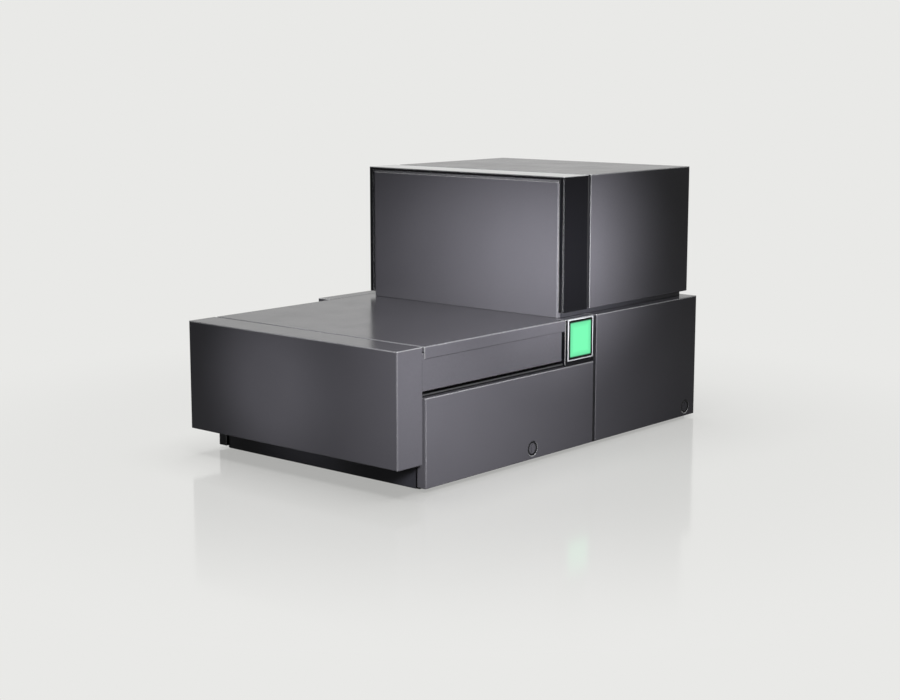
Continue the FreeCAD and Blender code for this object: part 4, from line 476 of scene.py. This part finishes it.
@dataclass(frozen=True)
class LitPanel(Finish):
    """Backlit acrylic panel: the eye gets an even green light that falls off into a dark printed border."""

    colour: str
    border_colour: str
    centre: Point
    half_mm: float
    border_mm: float = 6.5
    # The round of the lit window's corners, and the width over which its light ends.
    corner_mm: float = 4.0
    blur_mm: float = 3.0
    # Where the light starts to fall, as a share of the half width, and what is left at the border.
    even_share: float = 0.7
    border_light: float = 0.8
    glow: float = 1.0
    roughness: float = 0.12
    ior: float = 1.49

    def shader(self, tree: bpy.types.NodeTree, coords: bpy.types.NodeSocket) -> bpy.types.NodeSocket:
        """Build the lit panel.

        Args:
            tree: The material's node tree.
            coords: Object coordinates in metres.

        Returns:
            The surface socket.
        """
        place = add_node(tree, "ShaderNodeVectorMath", {"operation": "SUBTRACT", 1: self.centre}, {0: coords})
        size = add_node(tree, "ShaderNodeVectorMath", {"operation": "ABSOLUTE"}, {0: place.outputs["Vector"]})
        parts = add_node(tree, "ShaderNodeSeparateXYZ", links={0: size.outputs["Vector"]})
        far = add_node(tree, "ShaderNodeMath", {"operation": "SMOOTH_MAX", 2: self.corner_mm * MM},
                       {0: parts.outputs["Y"], 1: parts.outputs["Z"]})
        inner = (self.half_mm - self.border_mm) * MM
        window = add_node(tree, "ShaderNodeMapRange",
                          {"From Min": inner, "From Max": inner + self.blur_mm * MM, "To Min": 1.0, "To Max": 0.0,
                           "interpolation_type": "SMOOTHSTEP"}, {"Value": far.outputs["Value"]})
        fall = add_node(tree, "ShaderNodeMapRange",
                        {"From Min": inner * self.even_share, "From Max": inner, "To Min": 1.0,
                         "To Max": self.border_light}, {"Value": far.outputs["Value"]})
        strength = add_node(tree, "ShaderNodeMath", {"operation": "MULTIPLY"},
                            {0: window.outputs["Result"], 1: fall.outputs["Result"]})
        light = add_node(tree, "ShaderNodeVectorMath", {"operation": "SCALE", 0: linear(self.colour)[:3]},
                         {"Scale": strength.outputs["Value"]})
        panel = add_node(tree, "ShaderNodeBsdfPrincipled",
                         {"Base Color": linear(self.border_colour), "Roughness": self.roughness, "IOR": self.ior,
                          "Emission Strength": self.glow},
                         {"Emission Color": light.outputs["Vector"]})
        return panel.outputs["BSDF"]


class Metal(Enum):
    """Bare metals, with their colours from typical reflectance."""

    STEEL = "#b9babd"
    ZINC = "#b4b8bd"
    ALUMINIUM = "#d2d4d7"
    LEAD = "#7d8086"


class Paint(Enum):
    """The colours of the painted and moulded pieces."""

    ANTHRACITE = "#47464b"
    # The near-white of the painted highlight on rims and tops.
    PAINTED_HIGHLIGHT = "#eeeff2"
    BLACK = "#0b0b0e"
    PLINTH = "#2c2c31"
    GREEN = "#79fdb6"
    SHADE = "#060607"
    SILVER = "#98999d"
    BORDER = "#101312"
    WHITE = "#e9eaea"
    BOARD = "#12492b"
    DARK = "#141416"
    RUBBER = "#17171a"
    GLASS = "#3b2c20"


def centre_of(node: str) -> Point:
    """The middle of a CAD node's box, in metres."""
    low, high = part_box(node)
    return tuple((low + high) / 2)


@dataclass
class Wardrobe:
    """All finishes of the counter, made once and worn by the CAD nodes."""

    made: dict[str, bpy.types.Material] = field(default_factory=dict)

    def finishes(self) -> dict[str, Finish]:
        """List the finishes.

        Returns:
            Each finish by a short name.
        """
        low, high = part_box("status_screen")
        half_mm = (high.y - low.y) / 2 / MM
        return {
            # A dark soft mirror with a faint grain, and a painted highlight on upper rims and front right corners.
            "coat": PowderCoat("satin_powder_coat_on_steel", Paint.ANTHRACITE.value, Paint.PAINTED_HIGHLIGHT.value),
            # Darker and duller than the panels, for the pieces that stay in shadow.
            "plinth": PowderCoat("dark_powder_coat_on_steel", Paint.PLINTH.value, Paint.ANTHRACITE.value,
                                 roughness=0.45, painted_rim_highlight=False),
            # The panels' coat without the painted highlight on rims, which drew bright slits on the lock cores.
            "core": PowderCoat("satin_powder_coat_on_lock_cores", Paint.ANTHRACITE.value, Paint.PAINTED_HIGHLIGHT.value,
                               painted_rim_highlight=False),
            # Painted shade: nearly black and dull, so that the gaps look deep.
            "shade": PowderCoat("painted_shade_black_steel", Paint.SHADE.value, Paint.ANTHRACITE.value,
                                roughness=0.5, painted_rim_highlight=False),
            # Bright grey with a soft gloss, but no mirror.
            "silver": MouldedPlastic("silver_painted_plastic", Paint.SILVER.value, grain_mm=0.3, roughness=0.3),
            # A deep black mirror, with a painted highlight on rims and tops.
            "lacquer": PolishedLacquer("polished_black_lacquer", Paint.BLACK.value, Paint.PAINTED_HIGHLIGHT.value),
            # A pale, slightly blue metal with large crystals.
            "zinc": SheetZinc("zinc_plated_sheet", Metal.ZINC.value),
            # Mid grey, with highlights drawn out across the length.
            "steel_y": GrainedMetal("rolled_steel_along_y", Metal.STEEL.value, Axis.Y),
            # The same steel, ground finer, with sharper highlights.
            "steel_z": GrainedMetal("ground_steel_along_z", Metal.STEEL.value, Axis.Z, roughness=0.2),
            # Paler than steel and silky.
            "aluminium": GrainedMetal("anodised_aluminium_along_y", Metal.ALUMINIUM.value, Axis.Y, roughness=0.33),
            # Pale, with coarser lines from the cutter.
            "milled": GrainedMetal("milled_aluminium_plate", Metal.ALUMINIUM.value, Axis.X, grain_mm=1.2,
                                   roughness=0.36),
            # A dull blue grey with a coarse cast skin.
            "lead": MouldedPlastic("cast_lead", Metal.LEAD.value, grain_mm=2.5, roughness=0.55),
            # A plain milky white with a soft gloss.
            "rack": MouldedPlastic("moulded_polypropylene", Paint.WHITE.value, roughness=0.42),
            # A deep green under clear resin.
            "board": MouldedPlastic("glass_fibre_board", Paint.BOARD.value, roughness=0.35),
            # Black with a soft gloss.
            "dark": MouldedPlastic("moulded_black_nylon", Paint.DARK.value, roughness=0.45),
            # A matt black that takes almost no highlight.
            "rubber": MouldedPlastic("moulded_rubber", Paint.RUBBER.value, roughness=0.75, ior=1.52),
            # Dark amber under a clear gloss.
            "glass": TubeGlass("silvered_tube_glass", Paint.GLASS.value),
            # An even green light in a dark border.
            "screen": LitPanel("backlit_acrylic_panel", Paint.GREEN.value, Paint.BORDER.value,
                               centre_of("status_screen"), half_mm),
        }

    def wear(self) -> None:
        """Make every finish and put it on its CAD nodes."""
        for short, finish in self.finishes().items():
            self.made[short] = finish.make()
        for short, names in WORN_BY.items():
            for name in names:
                self.dress(frame["nodes"][name], short)
                LOG.info("dressed %s in %s", name, short)

    def dress(self, piece: bpy.types.Object, short: str) -> None:
        """Put one finish on a piece.

        Args:
            piece: A mesh or curve.
            short: The finish's short name.
        """
        piece.data.materials.clear()
        piece.data.materials.append(self.made[short])


WORN_BY = {
    "coat": ("side_panel_front_right", "side_panel_front_left", "side_panel_rear_right", "side_panel_rear_left",
             "deck_cover", "drawer_front", "drawer_skirts", "tower_front_panel", "tower_casing",
             "tower_rear_cover", "rear_panel", "side_duct"),
    "plinth": ("front_plinth", "tower_base"),
    "core": ("lock_front_right", "lock_front_left", "lock_rear_right", "lock_rear_left"),
    "shade": ("inner_walls", "bulkhead", "base_pan"),
    "lacquer": ("tower_frame", "display_housing"),
    "silver": ("display_bezel",),
    "zinc": ("drawer_pan", "drawer_back_plate", "power_supply", "high_voltage_supply", "shutter_housing"),
    "steel_y": ("slide_outer_members", "slide_middle_members", "slide_inner_members", "tray_rails", "cover_screws"),
    "steel_z": ("lift_guide", "lift_sleeve", "lift_piston", "shutter_disc"),
    "aluminium": ("skirt_rails",),
    "milled": ("tray_carriage", "rack_tray"),
    "lead": ("lead_shield_lower", "lead_shield_ring", "lead_shield_cap"),
    "rack": ("vial_rack_front", "vial_rack_rear", "measuring_chamber"),
    "board": ("main_board", "display_board"),
    "dark": ("lock_rings", "tube_sockets", "cooling_fan", "fan_rotor", "power_entry", "power_rocker", "lift_motor"),
    "rubber": ("base_feet", "tower_gasket"),
    "glass": ("photomultiplier_tubes",),
    "screen": ("status_screen",),
}


def hold(piece: bpy.types.Object, body: str, material: bpy.types.Material) -> None:
    """Put a new piece into the scene, in its material and on its body.

    Args:
        piece: The piece.
        body: The body that it rides on.
        material: What it is made of.
    """
    bpy.context.scene.collection.objects.link(piece)
    piece.data.materials.append(material)
    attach(piece, body)
    LOG.info("built %s", piece.name)


def finished(name: str, mesh: bmesh.types.BMesh) -> bpy.types.Object:
    """Turn an edited mesh into an object, and free the mesh.

    Args:
        name: The piece's name.
        mesh: The edited mesh.

    Returns:
        The new object, not yet in the scene.
    """
    data = bpy.data.meshes.new(name)
    mesh.to_mesh(data)
    mesh.free()
    return bpy.data.objects.new(name, data)


def block(name: str, low: Vector, high: Vector, bevel_mm: float, segments: int = 3) -> bpy.types.Object:
    """Build a block with rounded edges.

    Args:
        name: The piece's name.
        low: Its lowest corner in metres.
        high: Its highest corner in metres.
        bevel_mm: Radius of its edges.
        segments: Steps across each rounded edge.

    Returns:
        The new object, not yet in the scene.
    """
    mesh = bmesh.new()
    made = bmesh.ops.create_cube(mesh, size=1.0)
    size = high - low
    for vertex in made["verts"]:
        vertex.co = Vector((vertex.co[i] * size[i] for i in range(3))) + (low + high) / 2
    bmesh.ops.bevel(mesh, geom=mesh.edges[:], offset=bevel_mm * MM, segments=segments, profile=0.5,
                    affect="EDGES")
    return finished(name, mesh)


def wire_ring(name: str, centre: Vector, across: Axis, radius: float, wire: float, steps: int = 64,
              sides: int = 10) -> bpy.types.Object:
    """Bend a round wire into a ring.

    Args:
        name: The piece's name.
        centre: Middle of the ring in metres.
        across: The axis that the ring turns about.
        radius: Radius of the wire's centre line in metres.
        wire: Radius of the wire in metres.
        steps: Sections along the ring.
        sides: Corners of one section.

    Returns:
        The new object, not yet in the scene.
    """
    turn = Vector(Axis.Z.value).rotation_difference(Vector(across.value)).to_matrix()
    mesh = bmesh.new()
    rows = []
    for step in range(steps):
        angle = 2 * math.pi * step / steps
        spoke = Vector((math.cos(angle), math.sin(angle), 0.0))
        row = []
        for side in range(sides):
            tilt = 2 * math.pi * side / sides
            place = spoke * (radius + wire * math.cos(tilt)) + Vector((0.0, 0.0, wire * math.sin(tilt)))
            row.append(mesh.verts.new(centre + turn @ place))
        rows.append(row)
    for step in range(steps):
        ahead = rows[(step + 1) % steps]
        for side in range(sides):
            after = (side + 1) % sides
            mesh.faces.new((rows[step][side], ahead[side], ahead[after], rows[step][after])).smooth = True
    return finished(name, mesh)


@dataclass
class GapShadeSeals:
    """Black rubber profiles in the gaps between the front and rear side panels, standing in for the shade that
    fills those gaps.
    """

    wardrobe: Wardrobe
    below_face_mm: float = 0.6
    depth_mm: float = 5.0
    edge_mm: float = 0.5
    below_top_mm: float = 2.0

    def build(self) -> None:
        """Press one profile into each side's gap."""
        for side, outward in (("right", 1), ("left", -1)):
            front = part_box(f"side_panel_front_{side}")
            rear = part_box(f"side_panel_rear_{side}")
            face = front[1].x if outward > 0 else front[0].x
            outer = face - outward * self.below_face_mm * MM
            inner = outer - outward * self.depth_mm * MM
            low = Vector((min(inner, outer), front[1].y, front[0].z))
            high = Vector((max(inner, outer), rear[0].y, rear[1].z - self.below_top_mm * MM))
            hold(block(f"gap_shade_seal_{side}", low, high, self.edge_mm), "chassis", self.wardrobe.made["rubber"])


@dataclass
class FanGuard:
    """Wire finger guard over the fan: four rings on a cross of two flat bars."""

    wardrobe: Wardrobe
    stand_off_mm: float = 1.6
    wire_mm: float = 0.9
    bar_mm: float = 3.0
    bar_edge_mm: float = 0.4
    bar_past_ring_mm: float = 2.0
    rings_mm: tuple[float, ...] = (10.0, 20.0, 30.0, 39.0)

    def build(self) -> None:
        """Bend the rings and lay the cross behind them."""
        low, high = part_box("cooling_fan")
        wire = self.wire_mm * MM
        centre = Vector(((low.x + high.x) / 2, high.y + self.stand_off_mm * MM, (low.z + high.z) / 2))
        for number, radius_mm in enumerate(self.rings_mm):
            hold(wire_ring(f"fan_guard_ring_{number}", centre, Axis.Y, radius_mm * MM, wire), "chassis",
                 self.wardrobe.made["steel_z"])
        reach = (self.rings_mm[-1] + self.bar_past_ring_mm) * MM
        half = self.bar_mm * MM / 2
        for name, span in (("fan_guard_bar_across", (reach, half)), ("fan_guard_bar_upright", (half, reach))):
            corner = Vector((span[0], wire, span[1]))
            hold(block(name, centre - corner, centre + corner, self.bar_edge_mm), "chassis",
                 self.wardrobe.made["steel_z"])


class Lamp(Enum):
    """The two kinds of lamp that hang in the studio."""

    SOFTBOX = "AREA"
    SPOT = "SPOT"


@dataclass(frozen=True)
class Fixture:
    """One lamp: where it hangs, what it faces, how wide and how strong it is."""

    name: str
    kind: Lamp
    place: Point
    target: Point
    # The side of a softbox in metres, or the cone of a spot in degrees.
    spread: float
    watts: float
    # Radius of a spot's bulb in metres.
    bulb: float = 0.12

    def hang(self, lit: bpy.types.Collection | None = None) -> bpy.types.Object:
        """Make the lamp.

        Args:
            lit: The pieces that the lamp lights, or nothing where it lights everything.

        Returns:
            The lamp's object, which the camera doesn't see.
        """
        data = bpy.data.lights.new(self.name, self.kind.value)
        data.energy = self.watts
        if self.kind is Lamp.SOFTBOX:
            data.shape = "SQUARE"
            data.size = self.spread
        else:
            data.spot_size = math.radians(self.spread)
            data.spot_blend = 1.0
            data.shadow_soft_size = self.bulb
        lamp = bpy.data.objects.new(self.name, data)
        bpy.context.scene.collection.objects.link(lamp)
        lamp.location = self.place
        lamp.rotation_euler = (Vector(self.target) - Vector(self.place)).to_track_quat("-Z", "Y").to_euler()
        lamp.visible_camera = False
        lamp.visible_glossy = False
        if lit is not None:
            lamp.light_linking.receiver_collection = lit
        return lamp


@dataclass
class Studio:
    """The plain pale floor, the soft lamps, the background and the camera."""

    page_colour: str = "#e9e9e7"
    sky_colour: str = "#f4f6fa"
    # Near the object the floor is partly lit by the lamps and partly aglow. For soft light it is dim.
    floor_matt: str = "#c4c4c2"
    floor_glow: str = "#a9a9a7"
    floor_gloss: str = "#ffffff"
    floor_dim: str = "#4c4c4c"
    floor_gloss_share: float = 0.2
    floor_roughness: float = 0.1
    floor_half: float = 9.0
    # The floor turns into the page between these two distances from the middle, in metres.
    floor_ends: tuple[float, float] = (0.45, 1.25)
    # The direction in which the pale wall behind the object stands, as a polished top mirrors it.
    wall_way: Point = (-0.65, 0.76, 0.0)
    # What polished faces see: the dark and the pale side of the room, and where one turns into the other.
    dark_side: float = 0.1
    pale_side: float = 0.86
    wall_turn: tuple[float, float] = (0.2, 0.8)
    sky_turn: tuple[float, float] = (0.02, 0.16)
    # Strength of the sky's soft light.
    world_light: float = 0.1
    # The camera: its direction, its distance from the point that it looks at, and its lens.
    azimuth_deg: float = 40.848
    elevation_deg: float = 9.716
    distance: float = 2.9753
    aim: Point = (0.17295, -0.19707, 0.20886)
    lens_mm: float = 66.80
    sensor_mm: float = 36.0
    # It lights everything. The others light the pieces only: patches on the shown faces, and fill on the far sides.
    overhead: Fixture = Fixture("top_softbox", Lamp.SOFTBOX, (0.0, -0.1, 2.8), (0.0, 0.0, 0.0), 2.4, 44.0)
    fixtures: tuple[Fixture, ...] = (
        Fixture("right_spot", Lamp.SPOT, (0.95, -0.75, 0.5), (0.26, -0.25, 0.15), 58.0, 100.0),
        Fixture("right_upper_spot", Lamp.SPOT, (1.5, -0.75, 0.36), (0.26, 0.03, 0.37), 16.0, 430.0),
        Fixture("tower_spot", Lamp.SPOT, (0.25, -2.3, 1.0), (0.11, -0.1, 0.45), 13.0, 95.0),
        Fixture("drawer_spot", Lamp.SPOT, (-0.25, -1.9, 0.62), (-0.03, -0.4465, 0.155), 7.0, 230.0),
        Fixture("drawer_end_spot", Lamp.SPOT, (0.4, -1.9, 0.62), (0.25, -0.4465, 0.12), 5.5, 30.0),
        Fixture("left_softbox", Lamp.SOFTBOX, (-1.8, 0.1, 0.45), (-0.2, 0.05, 0.22), 0.9, 24.0),
        Fixture("back_softbox", Lamp.SOFTBOX, (-0.1, 2.1, 0.45), (0.0, 0.44, 0.24), 0.9, 26.0),
    )

    def build(self) -> None:
        """Set up the whole studio."""
        bpy.context.scene.view_settings.view_transform = "Standard"
        self.background()
        self.floor()
        self.overhead.hang().visible_glossy = True
        lit = bpy.data.collections.new("lit_pieces")
        for piece in bpy.context.scene.objects:
            if piece.type == "MESH" and piece.name != "floor":
                lit.objects.link(piece)
        for fixture in self.fixtures:
            fixture.hang(lit)
        self.camera()
        LOG.info("studio ready")

    def clear_rays(self, tree: bpy.types.NodeTree) -> bpy.types.NodeSocket:
        """Tell the rays that see the background from those that only carry soft light.

        Args:
            tree: The world's or the floor's node tree.

        Returns:
            One for camera, glossy and transmission rays, and zero for the others.
        """
        rays = add_node(tree, "ShaderNodeLightPath")
        seen = add_node(tree, "ShaderNodeMath", {"operation": "MAXIMUM"},
                        {0: rays.outputs["Is Camera Ray"], 1: rays.outputs["Is Glossy Ray"]})
        clear = add_node(tree, "ShaderNodeMath", {"operation": "MAXIMUM"},
                         {0: seen.outputs["Value"], 1: rays.outputs["Is Transmission Ray"]})
        return clear.outputs["Value"]

    def room_side(self, tree: bpy.types.NodeTree, measure: bpy.types.NodeSocket,
                  turn: tuple[float, float]) -> bpy.types.NodeSocket:
        """Turn a direction's measure into the brightness of the dark or the pale side of the room.

        Args:
            tree: The node tree.
            measure: How far the direction looks towards the pale side.
            turn: The measures at which the dark side ends and the pale side starts.

        Returns:
            The brightness.
        """
        side = add_node(tree, "ShaderNodeMapRange",
                        {"From Min": turn[0], "From Max": turn[1], "To Min": self.dark_side,
                         "To Max": self.pale_side, "interpolation_type": "SMOOTHSTEP"}, {"Value": measure})
        return side.outputs["Result"]

    def wall_glow(self, tree: bpy.types.NodeTree, way: bpy.types.NodeSocket) -> bpy.types.NodeSocket:
        """Brightness of the studio by its own direction, for rays that bounce off the object.

        Args:
            tree: The node tree.
            way: A vector from the middle of the studio outwards.

        Returns:
            One towards the pale wall and for the camera, less on the dark sides of the room.
        """
        unit = add_node(tree, "ShaderNodeVectorMath", {"operation": "NORMALIZE"}, {0: way})
        facing = add_node(tree, "ShaderNodeVectorMath", {"operation": "DOT_PRODUCT", 1: self.wall_way},
                          {0: unit.outputs["Vector"]})
        glow = self.room_side(tree, facing.outputs["Value"], self.wall_turn)
        rays = add_node(tree, "ShaderNodeLightPath")
        level = add_node(tree, "ShaderNodeMath", {"operation": "MAXIMUM"},
                         {0: glow, 1: rays.outputs["Is Camera Ray"]})
        return level.outputs["Value"]

    def background(self) -> None:
        """Light the object softly and show the page colour behind it."""
        world = bpy.data.worlds.new("pale_page")
        bpy.context.scene.world = world
        world.use_nodes = True
        tree = world.node_tree
        tree.nodes.clear()
        way = add_node(tree, "ShaderNodeTexCoord").outputs["Generated"]
        height = add_node(tree, "ShaderNodeSeparateXYZ", links={0: way})
        level = add_node(tree, "ShaderNodeMath", {"operation": "MAXIMUM"},
                         {0: self.room_side(tree, height.outputs["Z"], self.sky_turn),
                          1: self.wall_glow(tree, way)})
        soft = add_node(tree, "ShaderNodeBackground",
                        {"Color": linear(self.sky_colour), "Strength": self.world_light})
        page = add_node(tree, "ShaderNodeBackground", {"Color": linear(self.page_colour)},
                        {"Strength": level.outputs["Value"]})
        both = add_node(tree, "ShaderNodeMixShader",
                        links={0: self.clear_rays(tree), 1: soft.outputs[0], 2: page.outputs[0]})
        add_node(tree, "ShaderNodeOutputWorld", links={"Surface": both.outputs[0]})

    def floor(self) -> None:
        """Lay a pale satin floor that melts into the page far from the object."""
        mesh = bpy.data.meshes.new("floor")
        half = self.floor_half
        mesh.from_pydata([(-half, -half, 0), (half, -half, 0), (half, half, 0), (-half, half, 0)], [],
                         [(0, 1, 2, 3)])
        plane = bpy.data.objects.new("floor", mesh)
        bpy.context.scene.collection.objects.link(plane)
        material = bpy.data.materials.new("satin_white_acrylic_floor")
        material.use_nodes = True
        tree = material.node_tree
        tree.nodes.clear()
        coords = add_node(tree, "ShaderNodeTexCoord").outputs["Object"]
        reach = add_node(tree, "ShaderNodeVectorMath", {"operation": "LENGTH"}, {0: coords})
        fade = add_node(tree, "ShaderNodeMapRange",
                        {"From Min": self.floor_ends[0], "From Max": self.floor_ends[1],
                         "interpolation_type": "SMOOTHSTEP"}, {"Value": reach.outputs["Value"]})
        matt = add_node(tree, "ShaderNodeBsdfDiffuse", {"Color": linear(self.floor_matt)})
        gloss = add_node(tree, "ShaderNodeBsdfGlossy",
                         {"Color": linear(self.floor_gloss), "Roughness": self.floor_roughness})
        satin = add_node(tree, "ShaderNodeMixShader", {0: self.floor_gloss_share},
                         {1: matt.outputs[0], 2: gloss.outputs[0]})
        glow = add_node(tree, "ShaderNodeEmission", {"Color": linear(self.floor_glow), "Strength": 1.0})
        near = add_node(tree, "ShaderNodeAddShader", links={0: satin.outputs[0], 1: glow.outputs[0]})
        page = add_node(tree, "ShaderNodeEmission", {"Color": linear(self.page_colour), "Strength": 1.0})
        surface = add_node(tree, "ShaderNodeMixShader",
                           links={0: fade.outputs["Result"], 1: near.outputs[0], 2: page.outputs[0]})
        dim = add_node(tree, "ShaderNodeBsdfDiffuse", {"Color": linear(self.floor_dim)})
        share = add_node(tree, "ShaderNodeMath", {"operation": "MULTIPLY"},
                         {0: self.clear_rays(tree), 1: self.wall_glow(tree, coords)})
        shown = add_node(tree, "ShaderNodeMixShader",
                         links={0: share.outputs["Value"], 1: dim.outputs[0], 2: surface.outputs[0]})
        add_node(tree, "ShaderNodeOutputMaterial", links={"Surface": shown.outputs[0]})
        mesh.materials.append(material)

    def camera(self) -> None:
        """Stand the camera where the photograph was taken from."""
        data = bpy.data.cameras.new("camera")
        data.lens = self.lens_mm
        data.sensor_width = self.sensor_mm
        data.dof.use_dof = False
        camera = bpy.data.objects.new("camera", data)
        bpy.context.scene.collection.objects.link(camera)
        azimuth = math.radians(self.azimuth_deg)
        elevation = math.radians(self.elevation_deg)
        ahead = Vector((-math.sin(azimuth) * math.cos(elevation), math.cos(azimuth) * math.cos(elevation),
                        -math.sin(elevation)))
        camera.location = Vector(self.aim) - ahead * self.distance
        camera.rotation_euler = ahead.to_track_quat("-Z", "Y").to_euler()
        bpy.context.scene.camera = camera


def main() -> None:
    """Dress the counter and set up the studio."""
    logging.basicConfig(level=logging.INFO, format="%(message)s")
    wardrobe = Wardrobe()
    wardrobe.wear()
    GapShadeSeals(wardrobe).build()
    FanGuard(wardrobe).build()
    Studio().build()


if __name__ == "__main__":
    main()
